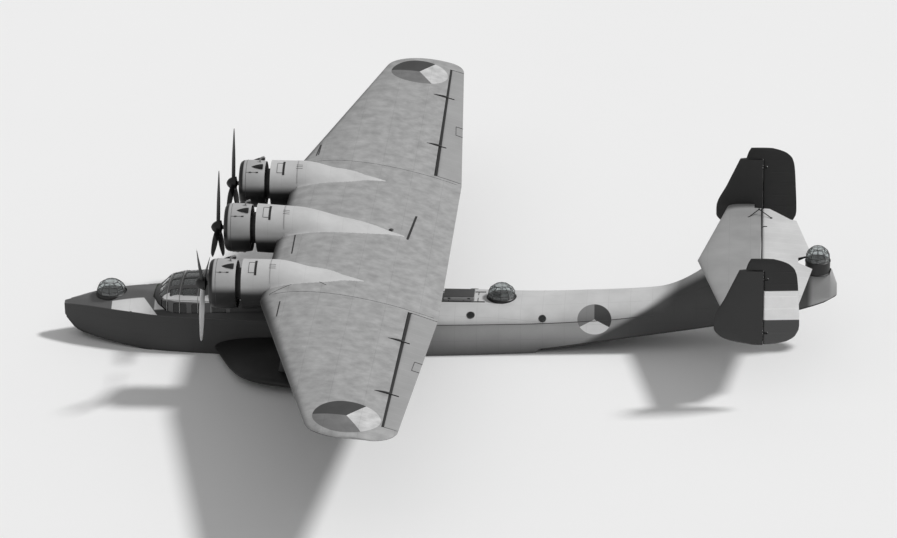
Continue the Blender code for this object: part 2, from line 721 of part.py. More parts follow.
def make_struts(hull_cutter, wing_cutter, sponson_cutters, tail_cutter):
    for name, side in (("port", 1), ("starboard", -1)):
        (_, *front), (_, *rear), (_, *diagonal) = CABANE_STRUTS
        truss = strut(f"cabane_{name}", *front, side, STRUT_PAINT)
        fuse(truss, strut(f"cabane_rear_{name}", *rear, side, helper=True))
        fuse(truss, strut(f"cabane_diagonal_{name}", *diagonal, side, helper=True))
        cut(truss, hull_cutter, wing_cutter)
        for place, *shape in SPONSON_STRUTS:
            brace = strut(f"sponson_strut_{place}_{name}", *shape, side, STRUT_PAINT)
            cut(brace, sponson_cutters[side], wing_cutter)
        for place, *shape in TAIL_STRUTS:
            brace = strut(f"tail_strut_{name}", *shape, side, STRUT_PAINT)
            cut(brace, hull_cutter, tail_cutter)


# Sponsons
def sponson_ring(row, side, swell):
    """One section of the sponson: a thick, nearly flat-bottomed foil."""
    out, front, rear, height, thickness = row
    chord = rear - front
    upper, lower = [], []
    for share in FOIL_STEPS:
        half, _ = foil(share, thickness / chord)
        half -= 4 * WING_CAMBER * share * (1 - share)
        station = front + share * chord
        edge = TRAILING_EDGE * share
        upper.append(at(station, out * side, height + half * chord * 1.1 + edge + swell))
        lower.append(at(station, out * side, height - half * chord * 0.9 - edge - swell))
    return list(reversed(upper[1:])) + [at(front - swell, out * side, height)] + lower[1:]


def make_sponsons(hull_cutter):
    cutters = {}
    for name, side in (("port", 1), ("starboard", -1)):
        body = loft(f"sponson_{name}", [sponson_ring(row, side, 0.0) for row in SPONSON], SPONSON_PAINT)
        cut(body, hull_cutter)
        rings = [sponson_ring(row, side, SEAT_GAP) for row in SPONSON]
        cutters[side] = loft(f"sponson_cutter_{name}", rings, helper=True)
    return cutters


# Engines
def nacelle_ring(row, out, thrust, length, droop):
    """One section of a nacelle, round at the firewall and flatter over the wing."""
    back, centre, rise, drop, half_width = row
    middle = thrust + centre - droop * back / NACELLE[-1][0]
    station = FIREWALL_STATION + back * length
    ring = []
    for step in range(20):
        angle = 2 * math.pi * step / 20
        reach = rise if math.cos(angle) > 0 else drop
        ring.append(at(station, out + half_width * math.sin(angle), middle + reach * math.cos(angle)))
    return ring


def make_engine(name, out, thrust, length, droop, blade_angle, wing_cutter):
    sections = [nacelle_ring(row, out, thrust, length, droop) for row in NACELLE]
    nacelle = loft(f"nacelle_{name}", sections, NACELLE_PAINT)
    cut(nacelle, wing_cutter)
    ahead = Vector((1, 0, 0))
    depth = COWL_REAR - COWL_FRONT
    profile = (
        (0.50, depth - 0.06),
        (0.53, depth),
        (0.60, depth - 0.005),
        (0.66, depth - 0.06),
        (COWL_RADIUS, depth - 0.20),
        (COWL_RADIUS, 0.18),
        (COWL_RADIUS - 0.03, 0.0),
        (COWL_RADIUS - 0.045, 0.0),
        (COWL_INNER_RADIUS, 0.18),
        (COWL_INNER_RADIUS, depth - 0.22),
        (0.60, depth - 0.12),
        (0.50, depth - 0.06),
    )
    turned(f"cowl_{name}", profile, at(COWL_REAR, out, thrust), ahead, 28, COWL_PAINT)
    case = (
        (0.0, 0.98),
        (0.14, 0.98),
        (0.20, 0.86),
        (0.27, 0.74),
        (0.34, 0.62),
        (0.34, 0.36),
        (0.42, 0.30),
        (0.45, SEAT_GAP),
        (0.0, SEAT_GAP),
    )
    engine = turned(f"engine_{name}", case, at(FIREWALL_STATION, out, thrust), ahead, 16, ENGINE_METAL)
    for piece, radius, start, end, sides in CYLINDER_PIECES:
        shape = bmesh.new()
        for step in range(CYLINDERS):
            angle = 2 * math.pi * step / CYLINDERS
            outward = Vector((0, math.sin(angle), math.cos(angle)))
            turn = outward.to_track_quat("Z", "X").to_matrix().to_4x4()
            place = Matrix.Translation(at(BARREL_STATION, out, thrust) + outward * (start + end) / 2) @ turn
            bmesh.ops.create_cone(
                shape, cap_ends=True, segments=sides, radius1=radius, radius2=radius, depth=end - start, matrix=place
            )
        fuse(engine, add_mesh(f"{piece}_{name}", shape, None, helper=True))
    shaft_end = at(FIREWALL_STATION - 0.88, out, thrust)
    cut(engine, bore(f"shaft_bore_{name}", shaft_end, at(PROPELLER_STATION, out, thrust), SHAFT_RADIUS))
    make_propeller(name, out, thrust, blade_angle)


def make_propeller(name, out, thrust, blade_angle):
    """Spinner, hub and three blades, turning on a shaft that enters the engine."""
    centre = at(PROPELLER_STATION, out, thrust)
    back = PROPELLER_STATION - (FIREWALL_STATION - 0.98)
    profile = (
        (0.0, 0.20),
        (0.07, 0.18),
        (0.14, 0.11),
        (0.19, 0.0),
        (0.20, -0.08),
        (0.13, -0.10),
        (SHAFT_RADIUS, -0.12),
        (SHAFT_RADIUS, back - 0.07),
        (0.0, back - 0.07),
    )
    spinner = turned(f"propeller_{name}", profile, centre, Vector((1, 0, 0)), 16, PROPELLER_PAINT)
    for index in range(3):
        angle = math.radians(blade_angle + 120 * index)
        outward = Vector((0, math.sin(angle), math.cos(angle)))
        across = Vector((1, 0, 0)).cross(outward)
        rings = []
        for radius, chord, thickness, pitch in BLADE:
            lean = math.radians(90 - pitch)
            wide = across * math.sin(lean) + Vector((1, 0, 0)) * math.cos(lean)
            thin = wide.cross(outward)
            middle = centre + outward * radius
            ring = []
            for step in range(8):
                turn = 2 * math.pi * step / 8
                ring.append(middle + wide * math.cos(turn) * chord / 2 + thin * math.sin(turn) * thickness / 2)
            rings.append(ring)
        fuse(spinner, loft(f"blade_{name}_{index}", rings, helper=True))


# Tail
def tail_chord(out):
    """Leading edge and trailing edge station, and thickness of the tailplane at a distance out."""
    (_, *root), (tip_out, *tip) = TAILPLANE
    share = abs(out) / tip_out
    return [near + (far - near) * share for near, far in zip(root, tip)]


def tail_surface(out, station):
    """Heights of the tailplane's upper and lower surface."""
    front, rear, thickness = tail_chord(out)
    chord = rear - front
    share = (station - front) / chord
    upper, lower = foil(share, thickness / chord)
    half = (upper - lower) / 2 * chord + TRAILING_EDGE / 2 * share
    return TAIL_HEIGHT + half, TAIL_HEIGHT - half


def tail_ring(out, swell):
    front, rear, _ = tail_chord(out)
    upper, lower = [], []
    for share in FOIL_STEPS:
        station = front + share * (rear - front)
        high, low = tail_surface(out, station)
        upper.append(at(station, out, high + swell))
        lower.append(at(station, out, low - swell))
    return list(reversed(upper[1:])) + [at(front - swell, out, TAIL_HEIGHT)] + lower[1:]


def tailplane_body(name, finish=None, swell=0.0, helper=False):
    reach = FIN_SPREAD
    return loft(name, [tail_ring(out, swell) for out in (-reach, 0.0, reach)], finish, helper)


def fin_half(share):
    """Half thickness of the fin along its chord, as a share of the thickness at the hinge."""
    return 0.5 * min(1.0, math.sqrt(max(0.0, share) * 2.2))


def fin_body(name, side, finish=None, swell=0.0, helper=False):
    """The fin, of rounded section from its leading edge to the rudder."""
    rings = []
    last = len(FIN) - 1
    for index, (height, front) in enumerate(FIN):
        lift = swell * (1 if index == last else -1 if index == 0 else 0)
        ring_half = []
        for share in (0.0, 0.06, 0.2, 0.5, 1.0):
            station = front + (FIN_REAR - front) * share
            half = FIN_THICKNESS * fin_half(share) + 0.004 + swell
            ring_half.append((station, half))
        out = FIN_SPREAD * side
        ring = [at(front - 0.01 - swell, out, height + lift)]
        ring += [at(station, out + half, height + lift) for station, half in ring_half]
        ring += [at(station, out - half, height + lift) for station, half in reversed(ring_half)]
        rings.append(ring)
    return loft(name, rings, finish, helper)


def rudder_body(name, side):
    """The rudder, with its horn balance over the fin."""
    rings = []
    radius = RUDDER_THICKNESS_AT_HINGE / 2
    out = FIN_SPREAD * side
    for height, front, rear in RUDDER:
        is_horn = front < HINGE_STATION
        nose = front if is_horn else HINGE_STATION - radius
        middle = HINGE_STATION
        ring_half = [
            (nose + (middle - nose) * 0.13, radius * 0.5),
            (nose + (middle - nose) * 0.5, radius * 0.87),
            (middle, radius),
            (middle + (rear - middle) * 0.5, radius * 0.6),
            (rear, 0.006),
        ]
        ring = [at(nose, out, height)]
        ring += [at(station, out + half, height) for station, half in ring_half]
        ring += [at(station, out - half, height) for station, half in reversed(ring_half)]
        rings.append(ring)
    return loft(name, rings, CONTROL_PAINT)


def make_elevator(tailplane):
    """One elevator across both halves, notched round the tail turret and raked at its tips."""
    hinge = HingePoint(HINGE_STATION, TAIL_HEIGHT)
    rings = []
    for out in (-ELEVATOR_TIP[0], 0.0, ELEVATOR_TIP[0]):
        high, low = tail_surface(out, HINGE_STATION)
        rear = tail_chord(out)[1]
        surface = lambda place, out=out: tail_surface(out, place)
        rings.append(control_ring(hinge, (high - low) / 2, surface, rear, (0.0, 0.35, 0.7, 1.0), out))
    elevator = loft("elevator", rings, ELEVATOR_PAINT)
    notch_out, notch_station = ELEVATOR_NOTCH
    notch = ((notch_station, 0.18), (notch_station, -0.18), (22.0, -notch_out), (22.0, notch_out))
    cut(elevator, prism("elevator_notch", notch, 1.5, 3.5))
    for side in (-1, 1):
        rake = (
            (HINGE_STATION + 0.10, side * (ELEVATOR_TIP[0] + 0.05)),
            (ELEVATOR_RAKE_STATION, side * ELEVATOR_TIP[1]),
            (ELEVATOR_RAKE_STATION + 0.9, side * (ELEVATOR_TIP[1] - 0.2)),
            (ELEVATOR_RAKE_STATION + 0.9, side * (ELEVATOR_TIP[0] + 0.4)),
            (HINGE_STATION + 0.10, side * (ELEVATOR_TIP[0] + 0.4)),
        )
        cut(elevator, prism(f"elevator_rake_{side}", rake, 1.5, 3.5))
    root_high, root_low = tail_surface(0.0, HINGE_STATION)
    tip_high, tip_low = tail_surface(ELEVATOR_TIP[0], HINGE_STATION)
    front_root = HINGE_STATION - (root_high - root_low) / 2 - RUNNING_GAP
    front_tip = HINGE_STATION - (tip_high - tip_low) / 2 - RUNNING_GAP
    bay_out = ELEVATOR_TIP[0] + RUNNING_GAP
    bay = (
        (front_tip, bay_out),
        (front_root, 0.0),
        (front_tip, -bay_out),
        (22.5, -bay_out),
        (22.5, bay_out),
    )
    cut(tailplane, prism("elevator_bay", bay, 1.5, 3.5))
    for side in (-1, 1):
        outs = (side * (bay_out - 0.01), side * 4.5)
        cut(tailplane, box(f"tail_end_{side}", (HINGE_STATION - 0.30, 22.5), outs, (1.5, 3.5)))
    for index, out in enumerate(ELEVATOR_LUGS):
        point = at(HINGE_STATION, out, TAIL_HEIGHT)
        add_hinge(tailplane, elevator, f"elevator_{index}", point, Vector((0, 1, 0)), Vector((1, 0, 0)))


def make_tail(hull_cutter):
    tailplane = tailplane_body("tailplane", TAIL_PAINT)
    cut(tailplane, hull_cutter)
    make_elevator(tailplane)
    for name, side in (("port", 1), ("starboard", -1)):
        fin = fin_body(f"fin_{name}", side, FIN_PAINT)
        cut(tailplane, fin_body(f"fin_cutter_{name}", side, swell=SEAT_GAP, helper=True))
        rudder = rudder_body(f"rudder_{name}", side)
        for index, height in enumerate(RUDDER_LUGS):
            point = at(HINGE_STATION, FIN_SPREAD * side, height)
            add_hinge(fin, rudder, f"rudder_{name}_{index}", point, Vector((0, 0, 1)), Vector((1, 0, 0)))
    return tailplane_body("tailplane_cutter", swell=SEAT_GAP, helper=True)


# Turrets
def make_turret(hull, name, station, seat, radius, ring_height, dome_height):
    """A ring that turns on a spigot in the deck, and the glazed dome on it."""
    up = Vector((0, 0, 1))
    foot = at(station, 0, seat)
    cut(hull, rod(f"turret_seat_{name}", foot, foot + up * 1.5, radius + 0.03, sides=24))
    bore_foot = foot - up * (SPIGOT_DEPTH + 0.01)
    cut(hull, bore(f"turret_bore_{name}", bore_foot, foot + up * 0.1, SPIGOT_RADIUS))
    rise = 0.006
    profile = (
        (0.0, rise + ring_height),
        (radius, rise + ring_height),
        (radius + 0.015, rise + ring_height - 0.02),
        (radius + 0.015, rise),
        (SPIGOT_RADIUS, rise),
        (SPIGOT_RADIUS, -SPIGOT_DEPTH),
        (0.0, -SPIGOT_DEPTH),
    )
    turned(f"turret_ring_{name}", profile, foot, up, 20, TURRET_PAINT)
    base = foot + up * (rise + ring_height + SEAT_GAP)
    wide = radius * 0.97
    outer = [(wide * out, dome_height * rise) for out, rise in reversed(DOME_OUTLINE)]
    inner = [((wide - DOME_WALL) * out, (dome_height - DOME_WALL) * rise) for out, rise in DOME_OUTLINE]
    turned(f"turret_dome_{name}", outer + inner, base, up, 16, GLASS)


def make_deck_fittings(hull_cutter):
    """The low locker ahead of the dorsal turret, and the rod under the bow."""
    locker = box("deck_locker", (10.92, 11.80), (-0.28, 0.28), (1.10, 1.40), HULL_PAINT, False)
    cut(locker, hull_cutter)
    pole = rod("bow_rod", at(1.08, 0, -0.10), at(1.08, 0, -0.62), 0.035, METAL, False, sides=12)
    cut(pole, hull_cutter)


# Build
for old in list(bpy.data.objects):
    bpy.data.objects.remove(old, do_unlink=True)
bpy.context.scene.collection.children.link(parts)
bpy.context.scene.collection.children.link(helpers)

HULL_PAINT = material("hull paint", 0.42, 0.5)
WING_PAINT = material("wing paint", 0.36, 0.5)
CONTROL_PAINT = material("doped fabric", 0.34, 0.6)
ELEVATOR_PAINT = material("elevator fabric", 0.55, 0.6)
TAIL_PAINT = material("tailplane paint", 0.30, 0.5)
FIN_PAINT = material("fin paint", 0.05, 0.5)
NACELLE_PAINT = material("nacelle paint", 0.50, 0.45)
COWL_PAINT = material("cowl paint", 0.48, 0.4)
ENGINE_METAL = material("cast aluminium", 0.12, 0.5, 0.8)
PROPELLER_PAINT = material("propeller paint", 0.02, 0.4)
SPONSON_PAINT = material("sponson paint", 0.03, 0.5)
STRUT_PAINT = material("strut paint", 0.20, 0.5)
TURRET_PAINT = material("turret paint", 0.10, 0.5)
CANOPY_PAINT = material("canopy frame paint", 0.45, 0.5)
SEAT_CLOTH = material("seat cloth", 0.08, 0.9)
PANEL_BLACK = material("panel black", 0.02, 0.6)
METAL = material("steel tube", 0.25, 0.4, 0.8)
GLASS = material("acrylic glazing", 0.60, 0.1)

hull_cutter = hull_body("hull_cutter", swell=SEAT_GAP, helper=True)
wing_cutter = make_wing_centre("wing_cutter", swell=SEAT_GAP, helper=True)
bow_length, main_length = make_hull()
make_canopy()
make_cockpit()
sponson_cutters = make_sponsons(hull_cutter)
make_wing()
tail_cutter = make_tail(hull_cutter)
make_struts(hull_cutter, wing_cutter, sponson_cutters, tail_cutter)
for engine_row in ENGINES:
    make_engine(*engine_row, wing_cutter)
for turret_row in TURRETS:
    make_turret(bow_length if turret_row[0] == "nose" else main_length, *turret_row)
make_deck_fittings(hull_cutter)
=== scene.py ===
"""Fine forms, finishes, studio and camera of a three-engined flying boat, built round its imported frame.

Metres, +X to the bow, +Y to port, +Z up. The origin is on the centre plane at the waterline.
A station is a distance aft of the nose, and out is a distance from the centre plane.
"""

import logging
import math
from collections.abc import Callable, Iterable, Sequence
from dataclasses import dataclass, field
from enum import Enum
from typing import Any, ClassVar

import bmesh
import bpy
from mathutils import Matrix, Vector


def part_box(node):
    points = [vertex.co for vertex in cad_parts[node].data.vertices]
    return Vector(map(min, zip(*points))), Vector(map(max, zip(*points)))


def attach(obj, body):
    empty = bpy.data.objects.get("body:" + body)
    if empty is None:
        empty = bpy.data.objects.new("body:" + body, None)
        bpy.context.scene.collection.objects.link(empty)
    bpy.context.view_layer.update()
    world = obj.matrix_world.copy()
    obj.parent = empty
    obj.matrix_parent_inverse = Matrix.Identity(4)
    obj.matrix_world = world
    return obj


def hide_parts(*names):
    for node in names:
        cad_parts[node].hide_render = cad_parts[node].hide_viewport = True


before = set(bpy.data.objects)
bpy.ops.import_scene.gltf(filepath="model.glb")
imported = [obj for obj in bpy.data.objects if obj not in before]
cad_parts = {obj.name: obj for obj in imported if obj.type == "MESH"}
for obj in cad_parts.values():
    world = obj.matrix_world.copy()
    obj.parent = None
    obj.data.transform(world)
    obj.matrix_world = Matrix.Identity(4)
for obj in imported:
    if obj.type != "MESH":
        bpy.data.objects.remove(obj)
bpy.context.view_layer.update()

LOG = logging.getLogger("flying boat")
Row = tuple[float, ...]
Table = tuple[Row, ...]
Pair = tuple[float, float]
Triple = tuple[float, float, float]
Heights = Callable[[float, float], Pair]
Socket = bpy.types.NodeSocket
NOSE_X = 8.8
AHEAD, PORT, UP = Vector((1, 0, 0)), Vector((0, 1, 0)), Vector((0, 0, 1))
AIRFRAME = "airframe"
# Sharp edges start at these angles, in degrees: plain sheet, the hull's plates, foils with a thin rear edge,
# cloth, stuffed and beaten shapes, blades, and the flat panes of a dome
SHEET_CREASE, HULL_CREASE, FOIL_CREASE = 32.0, 24.0, 28.0
CLOTH_CREASE, SOFT_CREASE, BLADE_CREASE, PANE_CREASE = 50.0, 60.0, 40.0, 5.0
# Small parts laid on a skin stand this far off it
PROUD = 0.004


class Side(Enum):
    """A side of the boat, with its sign along +Y."""

    PORT = 1
    STARBOARD = -1

    @property
    def tag(self) -> str:
        """The side's word in node names."""
        return self.name.lower()


class Station(Enum):
    """The three engine places, with the word in their node names."""

    PORT = "port"
    MIDDLE = "middle"
    STARBOARD = "starboard"


# Small geometry
def at(station: float, out: float, height: float) -> Vector:
    """The point at this station, distance to port and height."""
    return Vector((NOSE_X - station, out, height))


def spread(low: float, high: float, count: int) -> list[float]:
    """Evenly spaced values from low to high, both included."""
    return [low + (high - low) * i / (count - 1) for i in range(count)]


def ellipse(centre: Vector, right: Vector, up: Vector, count: int) -> list[Vector]:
    """Points round an ellipse with these two half axes."""
    angles = [2 * math.pi * step / count for step in range(count)]
    return [centre + right * math.cos(angle) + up * math.sin(angle) for angle in angles]


def closed_path(points: Sequence[Vector]) -> list[Vector]:
    """The points with the first one once more at the end."""
    return [*points, points[0]]


def smooth(low: float, high: float, value: float) -> float:
    """0 below low, 1 above high and an eased rise between."""
    share = min(1.0, max(0.0, (value - low) / (high - low)))
    return share * share * (3 - 2 * share)


def table_row(table: Table, station: float) -> Row:
    """The row of a table at any station, smoothly between the rows that it holds.

    Args:
        table: Rows that start with their station, in rising order.
        station: Where the row is wanted.

    Returns:
        A row of the same length.
    """
    if station <= table[0][0]:
        return table[0]
    if station >= table[-1][0]:
        return table[-1]
    index = max(i for i, row in enumerate(table[:-1]) if row[0] <= station)
    low, high = table[index], table[index + 1]
    before, after = table[max(index - 1, 0)], table[min(index + 2, len(table) - 1)]
    width = high[0] - low[0]
    share = (station - low[0]) / width
    values = [station]
    for column in range(1, len(low)):
        rise = (high[column] - low[column]) / width
        start = eased_slope(before, low, column, rise) * width
        end = eased_slope(high, after, column, rise) * width
        square, cube = share**2, share**3
        values.append(
            low[column] * (2 * cube - 3 * square + 1)
            + start * (cube - 2 * square + share)
            + high[column] * (3 * square - 2 * cube)
            + end * (cube - square)
        )
    return tuple(values)


def eased_slope(first: Row, second: Row, column: int, rise: float) -> float:
    """The slope at a row, kept level where the values turn.

    Args:
        first: The row before the neighbouring span.
        second: The row after it.
        column: The column that is read.
        rise: The slope of the span itself.

    Returns:
        The harmonic mean of the two slopes, or 0 at a turn.
    """
    if second[0] == first[0]:
        return rise
    other = (second[column] - first[column]) / (second[0] - first[0])
    return 0.0 if other * rise <= 0 else 2 * other * rise / (other + rise)


class Moulding:
    """Gathers the points and faces of one piece and makes its object."""

    def __init__(self) -> None:
        """Starts with nothing in it."""
        self.points: list[Vector] = []
        self.faces: list[tuple[int, ...]] = []
        self.slots: list[int] = []

    def face(self, corners: Iterable[int], slot: int) -> None:
        """Adds one face in a material slot."""
        self.faces.append(tuple(corners))
        self.slots.append(slot)

    def loft(
        self,
        rings: Sequence[Sequence[Vector]],
        slot: int = 0,
        closed: bool = True,
        caps: bool = True,
        slots: Sequence[int] = (),
    ) -> None:
        """Adds a skin through rings that all have as many points.

        Args:
            rings: The rings in order.
            slot: The material slot of the skin and of its caps.
            closed: Whether each ring closes on itself.
            caps: Whether the ends of a closed skin are filled.
            slots: The slot of each face round a ring, where they differ.
        """
        start, count = len(self.points), len(rings[0])
        for ring in rings:
            self.points.extend(Vector(point) for point in ring)
        for row in range(len(rings) - 1):
            for column in range(count if closed else count - 1):
                near = start + row * count + column
                far = start + row * count + (column + 1) % count
                self.face((near, far, far + count, near + count), slots[column] if slots else slot)
        if closed and caps:
            last = start + (len(rings) - 1) * count
            self.face(range(start + count - 1, start - 1, -1), slot)
            self.face(range(last, last + count), slot)

    def tube(
        self, path: Sequence[Vector], radius: float | Sequence[float], sides: int = 8, slot: int = 0
    ) -> None:
        """Adds a round tube along a path.

        Args:
            path: The points that it follows.
            radius: One radius, or one for each point.
            sides: The number of sides.
            slot: The material slot.
        """
        radii = radius if isinstance(radius, Sequence) else [radius] * len(path)
        last = len(path) - 1
        across = (path[1] - path[0]).normalized().orthogonal()
        rings = []
        for index, (point, reach) in enumerate(zip(path, radii)):
            ahead = (path[min(index + 1, last)] - path[max(index - 1, 0)]).normalized()
            across = (across - ahead * across.dot(ahead)).normalized()
            rings.append(ellipse(point, across * reach, ahead.cross(across) * reach, sides))
        self.loft(rings, slot)

    def turned(
        self, profile: Sequence[Pair], centre: Vector, axis: Vector, steps: int, slot: int = 0
    ) -> None:
        """Adds a profile of (radius, distance along the axis) turned round the axis.

        Args:
            profile: The profile, open or closed.
            centre: The point at distance 0 on the axis.
            axis: The axis' direction.
            steps: The number of steps of the full turn.
            slot: The material slot.
        """
        axis = axis.normalized()
        across = axis.orthogonal().normalized()
        other = axis.cross(across)
        rings = []
        for reach, along in profile:
            rings.append(ellipse(centre + axis * along, across * reach, other * reach, steps))
        self.loft(rings, slot, caps=False)

    def block(self, centre: Vector, size: Sequence[float], slot: int = 0) -> None:
        """Adds a box with chamfered edges.

        Args:
            centre: Its middle.
            size: Its lengths along the axes.
            slot: The material slot.
        """
        half = Vector(size) / 2
        edge = min(half) * 0.22
        rings = []
        for height, inset in ((-1, 1), (-1, 0), (1, 0), (1, 1)):
            reach_x, reach_y = half.x - edge * inset, half.y - edge * inset
            level = height * (half.z - edge * (1 - inset))
            ring = []
            for sign_x, sign_y in ((1, 1), (-1, 1), (-1, -1), (1, -1)):
                first = Vector((sign_x * (reach_x - edge), sign_y * reach_y, level))
                second = Vector((sign_x * reach_x, sign_y * (reach_y - edge), level))
                ring += [second, first] if sign_x * sign_y > 0 else [first, second]
            rings.append([centre + corner for corner in ring])
        self.loft(rings, slot)

    def ball(self, centre: Vector, radii: Sequence[float], steps: int, slot: int = 0) -> None:
        """Adds an ellipsoid.

        Args:
            centre: Its middle.
            radii: Its three radii along the axes.
            steps: The number of steps of a full turn.
            slot: The material slot.
        """
        rings = []
        for polar in spread(0, math.pi, steps // 2 + 1):
            right, up = AHEAD * radii[0] * math.sin(polar), PORT * radii[1] * math.sin(polar)
            rings.append(ellipse(centre + UP * radii[2] * math.cos(polar), right, up, steps))
        self.loft(rings, slot, caps=False)

    def make(self, name: str, finishes: Sequence["Finish"], crease: float = SHEET_CREASE) -> bpy.types.Object:
        """Makes the object of what was gathered.

        Args:
            name: The piece's name.
            finishes: The finish of each material slot.
            crease: The angle in degrees above which an edge stays sharp.

        Returns:
            The new object, in the scene.
        """
        mesh = bpy.data.meshes.new(name)
        mesh.from_pydata(self.points, [], self.faces)
        for finish in finishes:
            mesh.materials.append(finish.material())
        mesh.polygons.foreach_set("material_index", self.slots)
        shape = bmesh.new()
        shape.from_mesh(mesh)
        bmesh.ops.remove_doubles(shape, verts=shape.verts, dist=1e-5)
        bmesh.ops.dissolve_degenerate(shape, edges=shape.edges, dist=1e-6)
        bmesh.ops.recalc_face_normals(shape, faces=shape.faces)
        shape.to_mesh(mesh)
        shape.free()
        made = bpy.data.objects.new(name, mesh)
        bpy.context.scene.collection.objects.link(made)
        soften(made, crease)
        return made


def soften(piece: bpy.types.Object, crease: float) -> None:
    """Shades a piece smooth, with edges above an angle in degrees kept sharp."""
    piece.data.shade_smooth()
    piece.data.set_sharp_from_angle(angle=math.radians(crease))


def carve(
    piece: bpy.types.Object, tools: Iterable[Moulding], finish: "Finish", crease: float = SHEET_CREASE
) -> None:
    """Cuts each tool out of a piece, and gives the cut faces a finish.

    Args:
        piece: The piece, a closed mesh.
        tools: Closed shapes to cut away.
        finish: The finish of the cut faces.
        crease: The angle in degrees above which an edge stays sharp.
    """
    for index, tool in enumerate(tools):
        cutter = tool.make(f"cutter_{index}", [finish])
        cut = piece.modifiers.new("cut", "BOOLEAN")
        cut.operation = "DIFFERENCE"
        cut.object = cutter
        cut.material_mode = "TRANSFER"
        graph = bpy.context.evaluated_depsgraph_get()
        result = bpy.data.meshes.new_from_object(piece.evaluated_get(graph))
        piece.modifiers.clear()
        piece.data = result
        bpy.data.objects.remove(cutter, do_unlink=True)
    soften(piece, crease)


def install(
    piece: bpy.types.Object, body: str, replaces: Sequence[str] = ()
) -> None:
    """Makes a piece ride on its body and stand for the nodes that it replaces.

    Args:
        piece: The piece, in place.
        body: The body that it moves with.
        replaces: The nodes that it stands for.
    """
    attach(piece, body)
    if replaces:
        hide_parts(*replaces)
    LOG.info("%s: %d faces on %s", piece.name, len(piece.data.polygons), body)


# Finishes
def linear(colour: str) -> tuple[float, ...]:
    """A colour as Blender wants it.

    Args:
        colour: The colour in sRGB, such as #8a8a8a.

    Returns:
        Linear red, green, blue and alpha.
    """
    shares = [int(colour[i : i + 2], 16) / 255 for i in (1, 3, 5)]
    return (*(s / 12.92 if s <= 0.04045 else ((s + 0.055) / 1.055) ** 2.4 for s in shares), 1.0)


# The property that holds a node's choice, such as what a Math node works out
CHOICES = {
    "Math": "operation",
    "VectorMath": "operation",
    "MapRange": "interpolation_type",
    "Mix": "data_type",
}


def add_node(
    tree: bpy.types.NodeTree, kind: str, choice: str = "", output: int | str = 0, **sockets: Any
) -> Socket:
    """Adds a shader node with its choice and links.

    Args:
        tree: The material's node tree.
        kind: Blender's name of the node, without its first word ShaderNode.
        choice: What the node's own choice is set to, if it has one.
        output: The number or the name of the output that is wanted.
        sockets: A value or an output for each input, by its name with _ for a space, or as in0, in1
            and so on.

    Returns:
        The new node's output.
    """
    node = tree.nodes.new("ShaderNode" + kind)
    if choice:
        setattr(node, CHOICES[kind], choice)
    for name, value in sockets.items():
        numbered = name.startswith("in") and name[2:].isdigit()
        socket = node.inputs[int(name[2:])] if numbered else node.inputs[name.replace("_", " ")]
        if isinstance(value, Socket):
            tree.links.new(value, socket)
        else:
            socket.default_value = value
    return node.outputs[output]


@dataclass(frozen=True)
class Canvas:
    """A material in the making."""

    tree: bpy.types.NodeTree
    shader: Any
    place: Socket
    folded: Socket

    @classmethod
    def of(cls, material: bpy.types.Material) -> "Canvas":
        """The canvas of a new material.

        Args:
            material: The material, with nothing in it yet.

        Returns:
            Its nodes and its shader, with the place on the boat, and the same place with its distance
            to port made positive.
        """
        material.use_nodes = True
        tree = material.node_tree
        place = add_node(tree, "TexCoord", output="Object")
        parts = add_node(tree, "SeparateXYZ", Vector=place).node.outputs
        out = add_node(tree, "Math", "ABSOLUTE", in0=parts[1])
        folded = add_node(tree, "CombineXYZ", X=parts[0], Y=out, Z=parts[2])
        return cls(tree, tree.nodes["Principled BSDF"], place, folded)

    def feed(self, name: str, socket: Socket) -> None:
        """Links a socket to an input of the shader."""
        self.tree.links.new(socket, self.shader.inputs[name])


@dataclass(frozen=True)
class Edge:
    """A straight border of a painted area, alike on both sides. Inside is past it, along its direction."""

    direction: Triple
    offset: float
    soft: float = 0.01

    def cover(self, canvas: Canvas) -> Socket:
        """A socket that is 0 outside and 1 inside, with an eased change between.

        Args:
            canvas: The material in the making.

        Returns:
            The output that holds the share.
        """
        tree = canvas.tree
        reach = add_node(tree, "VectorMath", "DOT_PRODUCT", "Value", in0=canvas.folded, in1=self.direction)
        low, high = self.offset - self.soft, self.offset + self.soft
        return add_node(tree, "MapRange", "SMOOTHSTEP", Value=reach, From_Min=low, From_Max=high)


@dataclass(frozen=True)
class Patch:
    """A painted area inside all of its edges."""

    colour: str
    edges: tuple[Edge, ...]

    def paint(self, canvas: Canvas, below: Socket) -> Socket:
        """Paints the area over what lies below it.

        Args:
            canvas: The material in the making.
            below: The colour under the area.

        Returns:
            The colour with the area on it.
        """
        tree = canvas.tree
        cover = self.edges[0].cover(canvas)
        for edge in self.edges[1:]:
            cover = add_node(tree, "Math", "MULTIPLY", in0=cover, in1=edge.cover(canvas))
        return add_node(tree, "Mix", "RGBA", 2, in0=cover, in6=below, in7=linear(self.colour))


